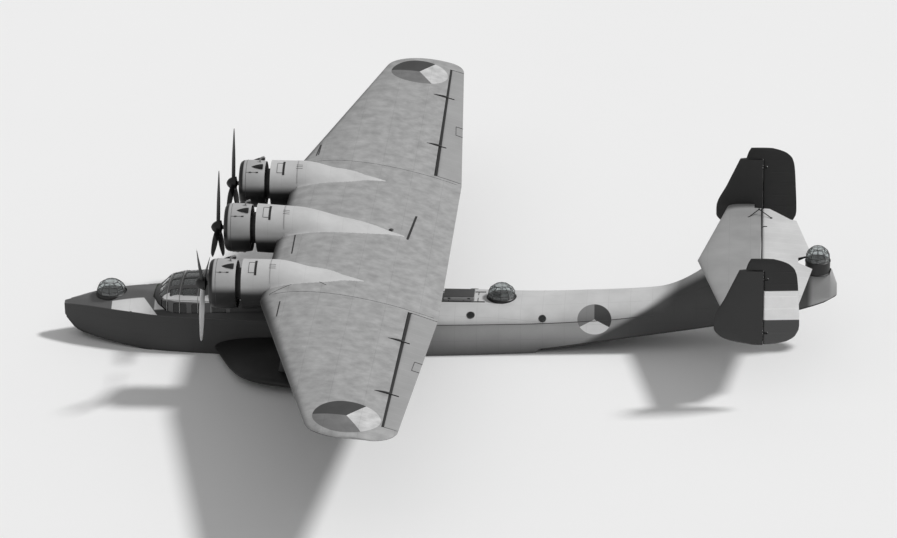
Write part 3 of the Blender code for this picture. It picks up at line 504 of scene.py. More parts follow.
@dataclass(frozen=True)
class Roundel:
    """A disc of three equal sectors, painted through the skin along one axis, or through both sides alike."""

    centre: Triple
    radius: float
    right: Triple
    up: Triple
    colours: tuple[str, str, str]
    start: float
    mirrored: bool = False
    soft: float = 0.004

    def paint(self, canvas: Canvas, below: Socket) -> Socket:
        """Paints the disc over what lies below it.

        Args:
            canvas: The material in the making.
            below: The colour under the disc.

        Returns:
            The colour with the disc on it.
        """
        tree = canvas.tree
        place = canvas.folded if self.mirrored else canvas.place
        arm = add_node(tree, "VectorMath", "SUBTRACT", in0=place, in1=self.centre)
        axes = (self.right, self.up)
        right, up = (add_node(tree, "VectorMath", "DOT_PRODUCT", "Value", in0=arm, in1=axis) for axis in axes)
        flat = add_node(tree, "CombineXYZ", X=right, Y=up)
        reach = add_node(tree, "VectorMath", "LENGTH", "Value", in0=flat)
        low, high = self.radius + self.soft, self.radius - self.soft
        inside = add_node(tree, "MapRange", Value=reach, From_Min=low, From_Max=high)
        angle = add_node(tree, "Math", "ARCTAN2", in0=up, in1=right)
        share = add_node(tree, "Math", "MULTIPLY_ADD", in0=angle, in1=0.5 / math.pi, in2=1 - self.start / 360)
        part = add_node(tree, "Math", "FRACT", in0=share)
        sectors = add_node(tree, "ValToRGB", Fac=part)
        ramp = sectors.node.color_ramp
        ramp.interpolation = "CONSTANT"
        ramp.elements[1].position = 1 / 3
        ramp.elements.new(2 / 3)
        for element, colour in zip(ramp.elements, self.colours):
            element.color = linear(colour)
        return add_node(tree, "Mix", "RGBA", 2, in0=inside, in6=below, in7=sectors)


@dataclass(frozen=True)
class Finish:
    """What every finish has: its name, colour and gloss. On its own it is plain, slightly cloudy paint."""

    name: str
    colour: str
    roughness: float = 0.5
    metallic: float = 0.0
    zones: tuple[Patch | Roundel, ...] = ()
    mottle: float = 0.10
    mottle_mm: float = 900.0
    uneven_gloss: float = 0.08
    noise_range: Pair = (0.25, 0.75)

    def material(self) -> bpy.types.Material:
        """Makes the finish's material, once.

        Returns:
            The material, also where it is there already.
        """
        made = bpy.data.materials.get(self.name)
        if made:
            return made
        made = bpy.data.materials.new(self.name)
        canvas = Canvas.of(made)
        canvas.shader.inputs["Metallic"].default_value = self.metallic
        colour = add_node(canvas.tree, "RGB")
        colour.default_value = linear(self.colour)
        for zone in self.zones:
            colour = zone.paint(canvas, colour)
        self.surface(canvas, colour)
        return made

    def surface(self, canvas: Canvas, colour: Socket) -> None:
        """Adds the pattern of the finish. This one is cloudy paint with an uneven gloss.

        Args:
            canvas: The material in the making.
            colour: The colour that the zones leave.
        """
        cloud = self.cloud(canvas)
        self.tint(canvas, colour, cloud)
        self.gloss(canvas, cloud)

    def cloud(self, canvas: Canvas) -> Socket:
        """Slow noise at the size of the mottling."""
        size = 1000 / self.mottle_mm
        return add_node(canvas.tree, "TexNoise", Vector=canvas.place, Scale=size, Detail=6.0, Roughness=0.62)

    def tint(self, canvas: Canvas, colour: Socket, pattern: Socket) -> None:
        """Darkens and lightens the colour by a pattern around one half, as far as the mottling goes.

        Args:
            canvas: The material in the making.
            colour: The colour.
            pattern: The pattern, from 0 to 1.
        """
        low, high = self.noise_range
        ends = {"From_Min": low, "From_Max": high, "To_Min": 1 - self.mottle, "To_Max": 1 + self.mottle}
        level = add_node(canvas.tree, "MapRange", Value=pattern, **ends)
        canvas.feed("Base Color", add_node(canvas.tree, "VectorMath", "SCALE", Vector=colour, Scale=level))

    def gloss(self, canvas: Canvas, pattern: Socket) -> None:
        """Varies the roughness with a pattern.

        Args:
            canvas: The material in the making.
            pattern: The pattern, from 0 to 1.
        """
        low, high = self.noise_range
        least, most = self.roughness - self.uneven_gloss, self.roughness + self.uneven_gloss
        ends = {"From_Min": low, "From_Max": high, "To_Min": least, "To_Max": most}
        canvas.feed("Roughness", add_node(canvas.tree, "MapRange", Value=pattern, **ends))


@dataclass(frozen=True)
class SheetEnamel(Finish):
    """Semi-matt enamel over riveted aluminium sheet: soft sheen, faint seams, rivet rows, slight waves."""

    bays_mm: Triple = (600.0, 600.0, 400.0)
    seam_mm: float = 9.0
    seam_depth: float = 0.30
    rivet_mm: float = 50.0

    def surface(self, canvas: Canvas, colour: Socket) -> None:
        """Adds seams, rivets, clouding and the slight waves of thin sheet.

        Args:
            canvas: The material in the making.
            colour: The colour that the zones leave.
        """
        tree, place = canvas.tree, canvas.place
        metres = [bay / 1000 for bay in self.bays_mm]
        bays = add_node(tree, "VectorMath", "DIVIDE", in0=place, in1=metres)
        cell = add_node(tree, "VectorMath", "FRACTION", in0=bays)
        middle = add_node(tree, "VectorMath", "SUBTRACT", in0=cell, in1=(0.5, 0.5, 0.5))
        away = add_node(tree, "VectorMath", "ABSOLUTE", in0=middle)
        axes = add_node(tree, "SeparateXYZ", Vector=away).node.outputs
        seams: float | Socket = 0.0
        beside: float | Socket = 0.0
        for axis, bay in zip(axes, self.bays_mm):
            seam, rivets_from = self.seam_mm / bay, 0.5 - self.rivet_mm / bay
            line = add_node(tree, "MapRange", Value=axis, From_Min=0.5 - seam, From_Max=0.5 - seam / 3)
            band = add_node(tree, "Math", "GREATER_THAN", in0=axis, in1=rivets_from)
            seams = add_node(tree, "Math", "MAXIMUM", in0=seams, in1=line)
            beside = add_node(tree, "Math", "MAXIMUM", in0=beside, in1=band)
        dots = add_node(tree, "TexVoronoi", Vector=place, Scale=1000 / self.rivet_mm, Randomness=0.0)
        heads = add_node(tree, "MapRange", Value=dots, From_Min=0.36, From_Max=0.22)
        rivets = add_node(tree, "Math", "MULTIPLY", in0=heads, in1=beside)
        cloud = self.cloud(canvas)
        shade = add_node(tree, "Math", "MULTIPLY_ADD", in0=seams, in1=-self.seam_depth, in2=cloud)
        self.tint(canvas, colour, shade)
        self.gloss(canvas, cloud)
        waves = add_node(tree, "TexNoise", Vector=place, Scale=3.2, Detail=1.0)
        pressed = add_node(tree, "Math", "MULTIPLY_ADD", in0=seams, in1=-0.5, in2=waves)
        height = add_node(tree, "Math", "MULTIPLY_ADD", in0=rivets, in1=0.4, in2=pressed)
        canvas.feed("Normal", add_node(tree, "Bump", Strength=0.25, Distance=0.012, Height=height))


@dataclass(frozen=True)
class DopedCloth(Finish):
    """Painted linen stretched over ribs: dull, with each rib standing a little proud and a faint weave."""

    rib_mm: float = 300.0
    across: int = 1
    weave_mm: float = 6.0

    def surface(self, canvas: Canvas, colour: Socket) -> None:
        """Adds ribs along one axis and a weave drawn coarse enough to show.

        Args:
            canvas: The material in the making.
            colour: The colour that the zones leave.
        """
        tree, place = canvas.tree, canvas.place
        cloud = self.cloud(canvas)
        axis = add_node(tree, "SeparateXYZ", output=self.across, Vector=place)
        half_bay = self.rib_mm / 2000
        ribs = add_node(tree, "Math", "PINGPONG", in0=axis, in1=half_bay)
        proud = add_node(tree, "MapRange", Value=ribs, From_Min=0.028, From_Max=0.0)
        shade = add_node(tree, "Math", "MULTIPLY_ADD", in0=proud, in1=0.22, in2=cloud)
        self.tint(canvas, colour, shade)
        self.gloss(canvas, cloud)
        weave = add_node(tree, "TexNoise", Vector=place, Scale=1000 / self.weave_mm, Detail=1.0)
        height = add_node(tree, "Math", "MULTIPLY_ADD", in0=weave, in1=0.06, in2=proud)
        canvas.feed("Normal", add_node(tree, "Bump", Strength=0.35, Distance=0.010, Height=height))


@dataclass(frozen=True)
class CastMetal(Finish):
    """Sand-cast and machined metal with an oily film: grainy, half bright."""

    grain_mm: float = 8.0

    def surface(self, canvas: Canvas, colour: Socket) -> None:
        """Adds the grain of the casting and darker oily patches.

        Args:
            canvas: The material in the making.
            colour: The colour that the zones leave.
        """
        super().surface(canvas, colour)
        size = 1000 / self.grain_mm
        grain = add_node(canvas.tree, "TexNoise", Vector=canvas.place, Scale=size, Detail=3.0)
        canvas.feed("Normal", add_node(canvas.tree, "Bump", Strength=0.3, Distance=0.002, Height=grain))


@dataclass(frozen=True)
class Acrylic(Finish):
    """Clear formed acrylic sheet: see-through, with a polished face and faint ripples."""

    clearness: float = 0.92
    refraction: float = 1.49

    def surface(self, canvas: Canvas, colour: Socket) -> None:
        """Makes the sheet clear and adds its ripples and haze.

        Args:
            canvas: The material in the making.
            colour: The colour that the zones leave.
        """
        tree, place = canvas.tree, canvas.place
        canvas.shader.inputs["Transmission Weight"].default_value = self.clearness
        canvas.shader.inputs["IOR"].default_value = self.refraction
        cloud = self.cloud(canvas)
        self.tint(canvas, colour, cloud)
        haze = add_node(tree, "MapRange", Value=cloud, To_Min=0.02, To_Max=self.roughness)
        canvas.feed("Roughness", haze)
        ripple = add_node(tree, "TexNoise", Vector=place, Scale=5.0, Detail=0.0)
        canvas.feed("Normal", add_node(tree, "Bump", Strength=0.08, Distance=0.01, Height=ripple))


# Painted areas. Their borders lie across these directions, where outboard counts away from the centre plane
# on both sides
TO_BOW, TO_STERN = (1.0, 0.0, 0.0), (-1.0, 0.0, 0.0)
OUTBOARD, INBOARD = (0.0, 1.0, 0.0), (0.0, -1.0, 0.0)
UPWARD, DOWNWARD = (0.0, 0.0, 1.0), (0.0, 0.0, -1.0)
TAIL_SHADE = Patch("#414141", (Edge((-0.489, 0.0, -0.872), 2.74, 0.10),))
TAIL_CONE_LIGHT = Patch("#9a9a9a", (Edge(TO_STERN, 12.5, 0.10),))
NOSE_DECK = Patch("#5f5f5f", (Edge(TO_BOW, 6.1, 0.02),))
# Painted light: the deck's shoulder ahead of the canopy, lighter where the light falls on it
SHOULDER_PAINTED_LIGHT = Patch(
    "#d8d8d8", (Edge(OUTBOARD, 0.47), Edge(TO_STERN, -7.35), Edge((1.0, 0.73, 0.0), 6.778))
)
# Painted shade on the deck's shoulder beside and behind the canopy
SHOULDER_PAINTED_SHADE = Patch(
    "#343434", (Edge(OUTBOARD, 0.90, 0.03), Edge((-1.0, -0.73, 0.0), -6.778), Edge(TO_BOW, -1.2, 0.5))
)
# Painted shadow of the wing on the deck under it
DECK_PAINTED_WING_SHADOW = Patch("#242424", (Edge(TO_STERN, -3.5, 0.3), Edge(TO_BOW, -1.2, 0.5)))
# Painted shade along the wing's leading edge, on the outer panels and on the centre section
LEADING_EDGE_PAINTED_SHADE = (
    Patch("#383838", (Edge((1.0, 0.2331, 0.0), 3.50, 0.15), Edge(OUTBOARD, 4.75))),
    Patch("#383838", (Edge(TO_BOW, 2.39, 0.15), Edge(INBOARD, -4.75))),
)
HULL_SECTORS, WING_SECTORS = ("#3a3a3a", "#808080", "#e8e8e8"), ("#c2c2c2", "#6e6e6e", "#3a3a3a")
HULL_ROUNDEL = Roundel((-6.43, 0.82, 1.0), 0.48, TO_STERN, (0.0, -0.45, 1.03), HULL_SECTORS, -30.0, True)
WING_ROUNDELS = tuple(
    Roundel((-0.54, 12.3 * side.value + 0.19, 0.0), 0.875, TO_STERN, (0.0, 1.0, 0.0), WING_SECTORS, -60.0)
    for side in Side
)
# Semi-matt enamel sprayed on thin riveted sheet: a soft even sheen, faint seams and rows of rivets.
# A bay of this many millimetres has no seams to speak of along its axis
WHOLE = 9000.0
UNSEAMED = (WHOLE, WHOLE, WHOLE)
HULL_DECK = SheetEnamel(
    "grey enamel on riveted deck sheet",
    "#c6c6c6",
    0.55,
    zones=(
        NOSE_DECK, SHOULDER_PAINTED_LIGHT, SHOULDER_PAINTED_SHADE, DECK_PAINTED_WING_SHADOW, TAIL_SHADE, TAIL_CONE_LIGHT, HULL_ROUNDEL
    ),
    bays_mm=(620.0, 480.0, WHOLE),
)
HULL_SIDE = SheetEnamel(
    "grey enamel on riveted hull side sheet",
    "#a6a6a6",
    0.55,
    zones=(
        # Painted shade: darker towards the bottom of the side
        Patch("#585858", (Edge(DOWNWARD, -0.35, 0.45),)),
        # Painted shade: the sides dark ahead of about station 9.7
        Patch("#363636", (Edge(TO_BOW, -0.9, 0.9),)),
        TAIL_SHADE,
        TAIL_CONE_LIGHT,
        HULL_ROUNDEL,
    ),
    bays_mm=(620.0, WHOLE, 430.0),
)
HULL_BOTTOM = SheetEnamel(
    "dark enamel on planing bottom sheet", "#2e2e2e", 0.5, bays_mm=(620.0, 500.0, WHOLE)
)
WING_TOP = SheetEnamel(
    "grey enamel on riveted wing sheet",
    "#9a9a9a",
    0.55,
    zones=LEADING_EDGE_PAINTED_SHADE + WING_ROUNDELS,
    bays_mm=(900.0, 700.0, WHOLE),
    seam_depth=0.16,
    mottle=0.26,
    mottle_mm=340.0,
)
WING_UNDER = SheetEnamel(
    "dark grey enamel on riveted wing sheet",
    "#3c3c3c",
    0.55,
    zones=WING_ROUNDELS,
    bays_mm=(900.0, 700.0, WHOLE),
)
NACELLE_ENAMEL = SheetEnamel(
    "light grey enamel on beaten nacelle sheet",
    "#c0c0c0",
    0.48,
    # Painted shade: the nacelle's underside near black, ahead of about station 7.8
    zones=(Patch("#0e0e0e", (Edge(DOWNWARD, -3.27, 0.14), Edge(TO_BOW, 1.0, 0.3))),),
    bays_mm=(700.0, WHOLE, WHOLE),
    seam_depth=0.2,
)
COWL_ENAMEL = SheetEnamel(
    "light grey enamel on spun cowl sheet",
    "#adadad",
    0.42,
    # Painted shade: the cowl near black on its lower part, and its forward-facing lip dark
    zones=(Patch("#0c0c0c", (Edge(DOWNWARD, -3.31, 0.13),)), Patch("#161616", (Edge(TO_BOW, 3.93, 0.02),))),
    bays_mm=UNSEAMED,
)
# The sponsons near black, as painted shadow of the wing over them
SPONSON_PAINTED_SHADOW = SheetEnamel("dark enamel on sponson sheet", "#101010", 0.5, bays_mm=(600.0, 600.0, WHOLE))
TAIL_ENAMEL = SheetEnamel(
    "grey enamel on riveted tailplane sheet", "#989898", 0.55, bays_mm=(600.0, 620.0, WHOLE)
)
FIN_ENAMEL = SheetEnamel("dark enamel on riveted fin sheet", "#282828", 0.55, bays_mm=(500.0, WHOLE, 560.0))
CANOPY_ENAMEL = SheetEnamel(
    "grey enamel on canopy frames",
    "#5a5a5a",
    0.5,
    zones=(
        Patch("#f0f0f0", (Edge(UPWARD, 1.445), Edge(DOWNWARD, -1.60), Edge(OUTBOARD, 0.72))),
        Patch("#383838", (Edge(TO_BOW, 5.86, 0.05),)),
    ),
    bays_mm=UNSEAMED,
)
DARK_ENAMEL, MID_ENAMEL, LIGHT_ENAMEL = (
    SheetEnamel(f"{shade} enamel on pressed sheet", colour, roughness, bays_mm=UNSEAMED)
    for shade, colour, roughness in (
        ("black", "#1a1a1a", 0.45),
        ("dark grey", "#444444", 0.5),
        ("light grey", "#a4a4a4", 0.5),
    )
)
# Enamel brushed on drawn tube: smooth, a little cloudy, without seams or rivets
STRUT_ENAMEL = Finish("grey enamel on drawn strut tube", "#4c4c4c", 0.45, mottle=0.08)
# Doped and painted linen over ribs: duller than the sheet, each rib a little proud
CONTROL_CLOTH = DopedCloth("grey dope on linen, ailerons", "#969696", 0.62, zones=WING_ROUNDELS, rib_mm=420.0)
ELEVATOR_CLOTH = DopedCloth("light grey dope on linen, elevator", "#cacaca", 0.62, rib_mm=380.0)
RUDDER_CLOTH = DopedCloth("dark dope on linen, rudders", "#202020", 0.6, rib_mm=360.0, across=2)
STRIPED_CLOTH = DopedCloth(
    "striped dope on linen, rudders",
    "#1e1e1e",
    0.6,
    zones=(Patch("#fafafa", (Edge(DOWNWARD, -3.40),)), Patch("#474747", (Edge(DOWNWARD, -2.54),))),
    rib_mm=360.0,
    across=2,
)
# Sand-cast and machined aluminium and steel: dark, grainy, with an oily film
ENGINE_CASTING = CastMetal("sand-cast aluminium crankcase", "#4a4a4a", 0.5, 0.7)
CYLINDER_STEEL = CastMetal("turned steel cylinder fins", "#262626", 0.45, 0.6)
EXHAUST_STEEL = CastMetal("heat-stained exhaust steel", "#302c28", 0.6, 0.7)
BARE_STEEL = CastMetal("drawn steel tube", "#6a6a6a", 0.35, 0.9)
# Metal of the propellers: a pale, dull bare face, painted near white as painted light on the lit blade only;
# near black paint elsewhere, anti-glare on the front faces and painted shade on the rear faces
BLADE_PAINTED_LIGHT = CastMetal("brushed aluminium blade", "#fafafa", 0.45, 0.05, mottle=0.04)
BLADE_BLACK = Finish("black anti-glare blade paint", "#0c0c0c", 0.55)
SPINNER_BLACK = Finish("black enamel spun cone", "#090909", 0.5)
# Formed acrylic: clear or smoked, polished, with faint ripples
GLAZING = Acrylic("formed acrylic glazing", "#dfe3e3", 0.08, mottle=0.03)
GLAZING_DARK = Acrylic("smoked acrylic glazing", "#3a3d3d", 0.06, mottle=0.03)
CABIN_GLAZING = Acrylic(
    # Painted shade: the side panes below the roof tinted near black, as the dark cabin behind them
    "cabin acrylic glazing", "#dfe3e3", 0.08, mottle=0.03, zones=(Patch("#101212", (Edge(DOWNWARD, -1.44),)),)
)
# The cockpit's inside: dull moulded rubber, scuffed leather, crackled and sprayed paint, printed dials
RUBBER = Finish("moulded black rubber", "#161616", 0.8)
SEAT_LEATHER = Finish("worn brown leather", "#4a3a2c", 0.6, mottle=0.2, mottle_mm=60.0)
PANEL_BLACK = Finish("crackle black instrument enamel", "#17181a", 0.7, mottle=0.2, mottle_mm=6.0)
DIAL_FACE = Finish("printed dial face", "#cfcfc6", 0.4, mottle=0.03)
COCKPIT_GREEN = Finish("grey-green cockpit primer", "#565c52", 0.6, mottle=0.15, mottle_mm=200.0)


# Shared shapes
def foil(share: float, thickness: float, camber: float = 0.0) -> Pair:
    """Upper and lower surface of a wing section.

    Args:
        share: Share of the chord from the leading edge.
        thickness: The section's thickness, as a share of the chord.
        camber: Height of its middle line, likewise.

    Returns:
        Both heights as shares of the chord.
    """
    root = 0.2969 * math.sqrt(share)
    half = 5 * thickness * (root - 0.1260 * share - 0.3516 * share**2 + 0.2843 * share**3 - 0.1036 * share**4)
    middle = 4 * camber * share * (1 - share)
    return middle + half, middle - half


def foil_stations(front: float, rear: float, count: int) -> list[float]:
    """Stations along a chord that crowd towards the leading edge.

    Args:
        front: The leading edge.
        rear: The trailing edge.
        count: How many stations.

    Returns:
        The stations, both edges included.
    """
    shares = [(1 - math.cos(math.pi / 2 * i / (count - 1))) ** 1.25 for i in range(count)]
    return [front + share * (rear - front) for share in shares]


def foil_ring(heights: Heights, out: float, stations: Sequence[float]) -> list[Vector]:
    """One section of a wing, from its rear edge over the top to its leading edge and back under.

    Args:
        heights: Gives the upper and the lower surface at a distance out and a station.
        out: The section's distance to port.
        stations: Where it has points, from the leading edge back.

    Returns:
        The ring of points.
    """
    upper = [at(station, out, heights(out, station)[0]) for station in reversed(stations)]
    return upper + [at(station, out, heights(out, station)[1]) for station in stations[1:]]


def flap_ring(heights: Heights, hinge: Vector, radius: float, rear: float) -> list[Vector]:
    """One section of a hinged surface, from its rear edge over the top, round its nose and back under.

    Args:
        heights: Gives the upper and the lower surface at a distance out and a station.
        hinge: The hinge line's point in this section.
        radius: The round nose's radius.
        rear: The rear edge's station.

    Returns:
        The ring of points.
    """
    station = NOSE_X - hinge.x
    places = spread(rear, station, 9)
    ring = [at(place, hinge.y, heights(hinge.y, place)[0]) for place in places]
    for angle in spread(0, math.pi, 13)[1:-1]:
        ring.append(at(station - radius * math.sin(angle), hinge.y, hinge.z + radius * math.cos(angle)))
    return ring + [at(place, hinge.y, heights(hinge.y, place)[1]) for place in reversed(places)]


def soft_maximum(first: float, second: float, width: float) -> float:
    """The larger of two heights, with a rounded change where they are within width of each other."""
    near = max(width - abs(first - second), 0.0) / width
    return max(first, second) + near * near * width * 0.25


def plan_tool(outline: Sequence[Pair], low: float, high: float) -> Moulding:
    """A solid to cut with, by its outline in plan.

    Args:
        outline: The corners, as (station, out).
        low: The height of its foot.
        high: The height of its top.

    Returns:
        The solid.
    """
    tool = Moulding()
    tool.loft([[at(s, y, z) for s, y in outline] for z in (low, high)])
    return tool


def box_tool(stations: Pair, outs: Pair, heights: Pair) -> Moulding:
    """A plain box to cut with.

    Args:
        stations: Its front and rear.
        outs: Its two sides, as distances to port.
        heights: Its foot and top.

    Returns:
        The box.
    """
    (front, rear), (left, right) = stations, outs
    return plan_tool([(front, left), (rear, left), (rear, right), (front, right)], *heights)


# Hull
@dataclass
class Hull:
    """The planing hull: stepped bottom, flat sides, arched deck and the upswept tail."""

    forebody: Table = (
        (0.00, 0.58, 0.10, 0.62),
        (0.25, 0.18, 0.26, 0.33),
        (0.60, -0.05, 0.44, 0.22),
        (1.10, -0.27, 0.68, 0.16),
        (1.85, -0.47, 0.95, 0.08),
        (3.00, -0.65, 1.20, -0.06),
        (4.00, -0.75, 1.32, -0.19),
        (5.00, -0.82, 1.39, -0.27),
        (7.20, -0.88, 1.42, -0.30),
        (9.40, -0.90, 1.40, -0.32),
    )
    afterbody: Table = ((9.46, -0.70, 1.39, -0.26), (11.40, -0.60, 1.22, -0.24), (13.30, -0.47, 1.00, -0.26))
    tail_bottom: Table = (
        (13.66, -0.10, 0.95, 0.10),
        (14.20, -0.05, 0.92, 0.17),
        (16.50, 0.22, 0.78, 0.49),
        (18.56, 0.52, 0.60, 0.75),
        (20.50, 0.90, 0.42, 1.08),
        (21.70, 1.28, 0.25, 1.40),
        (22.05, 1.50, 0.10, 1.55),
    )
    deck: Table = (
        (0.00, 0.12, 0.96, 1.00),
        (0.60, 0.40, 1.03, 1.17),
        (1.20, 0.64, 1.06, 1.28),
        (2.15, 0.93, 1.06, 1.35),
        (2.85, 1.10, 1.05, 1.37),
        (4.00, 1.21, 1.04, 1.38),
        (5.50, 1.27, 1.01, 1.37),
        (8.00, 1.26, 0.97, 1.34),
        (10.90, 1.15, 0.90, 1.29),
        (13.10, 1.00, 0.90, 1.31),
        (15.35, 0.84, 0.97, 1.45),
        (16.40, 0.76, 1.06, 1.53),
        (17.15, 0.70, 1.15, 1.63),
        (17.64, 0.65, 1.24, 1.83),
        (18.13, 0.60, 1.33, 2.14),
        (18.50, 0.57, 1.40, 2.40),
        (19.60, 0.50, 1.48, 2.40),
        (20.30, 0.44, 1.50, 2.10),
        (20.90, 0.42, 1.51, 2.06),
        (21.15, 0.41, 1.52, 2.28),
        (21.85, 0.32, 1.56, 2.34),
        (22.05, 0.14, 1.60, 1.86),
    )
    shoulder_stations: Pair = (2.9, 4.6)
    knee: Pair = (0.50, 0.035)
    ring_spacing: float = 0.14
    bottom_steps: int = 6
    side_steps: int = 5
    deck_steps: int = 12
    canopy_seat: float = 1.05
    well: Row = (3.0, 4.75, 0.90, 0.15)
    bottom_curve: float = 0.283
    side_bulge: float = 0.08
    portholes: Table = ((13.76, 1.04, 0.09), (11.73, 1.12, 0.10))
    walkway: Pair = (9.4, 12.1)
    walkway_half: float = 0.34

    @property
    def bottoms(self) -> tuple[Table, ...]:
        """The bottom's three parts, from the bow to the stern."""
        return self.forebody, self.afterbody, self.tail_bottom

    def half_ring(self, station: float, bottom: Table) -> list[Pair]:
        """One half section from the keel to the crown.

        Args:
            station: Where the section is.
            bottom: The part of the bottom that it belongs to.

        Returns:
            Its points as (out, height).
        """
        _, keel, chine_out, chine_height = table_row(bottom, station)
        _, edge_out, edge_height, _ = table_row(self.deck, station)
        half = []
        for share in spread(0, 1, self.bottom_steps + 1):
            rise = share + self.bottom_curve * share * (1 - share)
            half.append((chine_out * share, keel + (chine_height - keel) * rise))
        for share in spread(0, 1, self.side_steps + 1)[1:]:
            bulge = self.side_bulge * edge_out * share * (1 - share)
            out = chine_out + (edge_out - chine_out) * share + bulge
            half.append((out, chine_height + (edge_height - chine_height) * share))
        return half + self.deck_half(station)[1:]

    def deck_half(self, station: float) -> list[Pair]:
        """The deck's half section from its edge to its crown, straight with a knee at the bow, arched aft.

        Args:
            station: Where the section is.

        Returns:
            Its points as (out, height).
        """
        _, edge_out, edge_height, crown = table_row(self.deck, station)
        start, end = self.shoulder_stations
        arch = min(1.0, max(0.0, (station - start) / (end - start)))
        knee_out, knee_drop = self.knee
        rise = crown - edge_height
        half = []
        for share in spread(0, 1, self.deck_steps + 1):
            angle = math.pi / 2 * share
            if share < 0.5:
                flat_out = 1 - (1 - knee_out) * share / 0.5
                flat_rise = (rise - knee_drop) * share / 0.5
            else:
                flat_out = knee_out * (1 - share) / 0.5
                flat_rise = rise - knee_drop * (1 - share) / 0.5
            out = flat_out + (math.cos(angle) - flat_out) * arch
            height = edge_height + flat_rise + (rise * math.sin(angle) - flat_rise) * arch
            half.append((edge_out * out, height))
        return half

    def deck_height(self, station: float, out: float) -> float:
        """Height of the deck.

        Args:
            station: The station.
            out: The distance out, to either side.

        Returns:
            The height there.
        """
        half = self.deck_half(station)
        for (far, low), (near, high) in zip(half, half[1:]):
            if near <= abs(out) <= far:
                return low + (high - low) * (far - abs(out)) / max(far - near, 1e-6)
        return half[0][1]

    def side_out(self, station: float, height: float) -> float:
        """Distance out of the hull's side.

        Args:
            station: The station.
            height: The height.

        Returns:
            The distance from the centre plane.
        """
        bottom = next(part for part in self.bottoms if station <= part[-1][0] + 0.36)
        half = self.half_ring(station, bottom)[self.bottom_steps :]
        for (low_out, low), (high_out, high) in zip(half, half[1:]):
            if low <= height <= high:
                return low_out + (high_out - low_out) * (height - low) / max(high - low, 1e-6)
        return half[0][0]

    def build(self) -> None:
        """Makes the hull and everything fixed on its skin."""
        self.body()
        self.rails()
        self.portlights()
        self.deck_gear()

    def body(self) -> None:
        """The hull's skin, with the cockpit well, the canopy's seat and the turrets' pits cut in it."""
        rings = []
        for bottom in self.bottoms:
            start, end = bottom[0][0], bottom[-1][0]
            even = spread(start, end, max(3, round((end - start) / self.ring_spacing) + 1))
            extra = {0.05, 0.12, 0.3} | {row[0] for row in self.deck[-4:-1]}
            for station in sorted(set(even) | {s for s in extra if start < s < end}):
                half = self.half_ring(station, bottom)
                port = [at(station, y, z) for y, z in half]
                rings.append(port + [at(station, -y, z) for y, z in reversed(half[1:-1])])
        count = len(rings[0])
        first_side, first_deck = self.bottom_steps, self.bottom_steps + self.side_steps
        places = [min(column, count - 1 - column) for column in range(count)]
        slots = [2 if place < first_side else 1 if place < first_deck else 0 for place in places]
        mould = Moulding()
        mould.loft(rings, slots=slots)
        hull = mould.make("hull_skin", [HULL_DECK, HULL_SIDE, HULL_BOTTOM], HULL_CREASE)
        canopy = Canopy()
        footprint = [(row[0], row[1]) for row in canopy.rows + canopy.fairing[1:]]
        outline = footprint + [(s, -y) for s, y in reversed(footprint)]
        front, rear, half_width, floor = self.well
        tools = [
            plan_tool(outline, self.canopy_seat, 3.0),
            box_tool((front, rear), (-half_width, half_width), (floor, self.canopy_seat + 0.5)),
        ]
        for _, station, seat, radius, *_ in Turret.places:
            pit = Moulding()
            wide = radius + 0.03
            profile = ((0.0, -0.08), (0.10, -0.08), (0.10, 0.0), (wide, 0.0), (wide, 1.5), (0.0, 1.5))
            pit.turned(profile, at(station, 0, seat), UP, 48)
            tools.append(pit)
        carve(hull, tools, COCKPIT_GREEN, HULL_CREASE)
        install(hull, AIRFRAME, ["hull_bow", "hull_main"])

    def rails(self) -> None:
        """The chine rails, the keel strip and the rub strips at the deck edge."""
        mould = Moulding()
        for bottom in self.bottoms:
            start, end = bottom[0][0], bottom[-1][0]
            chines = spread(start + 0.05, end - 0.02, max(6, round((end - start) / 0.25)))
            for side in Side:
                rows = [table_row(bottom, station) for station in chines]
                mould.tube([at(r[0], r[2] * side.value, r[3]) for r in rows], 0.016, 6)
            keels = spread(start + 0.02, end - 0.05, max(6, round((end - start) / 0.3)))
            mould.tube([at(station, 0, table_row(bottom, station)[1]) for station in keels], 0.02, 6)
        edges = [table_row(self.deck, station) for station in spread(0.15, 16.9, 90)]
        for side in Side:
            mould.tube([at(r[0], (r[1] + 0.002) * side.value, r[2]) for r in edges], 0.011, 6, 1)
        install(mould.make("hull_rails", [HULL_BOTTOM, MID_ENAMEL]), AIRFRAME)

    def portlights(self) -> None:
        """The portholes with their rims, and the light on the port side of the bow."""
        rims, glass = Moulding(), Moulding()
        for side in Side:
            for station, height, wide in self.portholes:
                out = self.side_out(station, height)
                lean = self.side_out(station, height - 0.03) - self.side_out(station, height + 0.03)
                axis = Vector((0, 0.06 * side.value, lean)).normalized()
                centre = at(station, out * side.value, height) - axis * 0.012
                rim = ((wide, 0.0), (wide + 0.02, 0.006), (wide + 0.02, 0.022), (wide, 0.022))
                rims.turned(rim, centre, axis, 24)
                glass.turned(((0.0, 0.016), (wide, 0.016), (wide, 0.004), (0.0, 0.004)), centre, axis, 24)
        rims.ball(at(2.03, self.side_out(2.03, 1.03) - 0.01, 1.05), (0.05, 0.03, 0.035), 12)
        install(rims.make("porthole_rims", [MID_ENAMEL]), AIRFRAME)
        install(glass.make("porthole_glass", [GLAZING_DARK]), AIRFRAME)

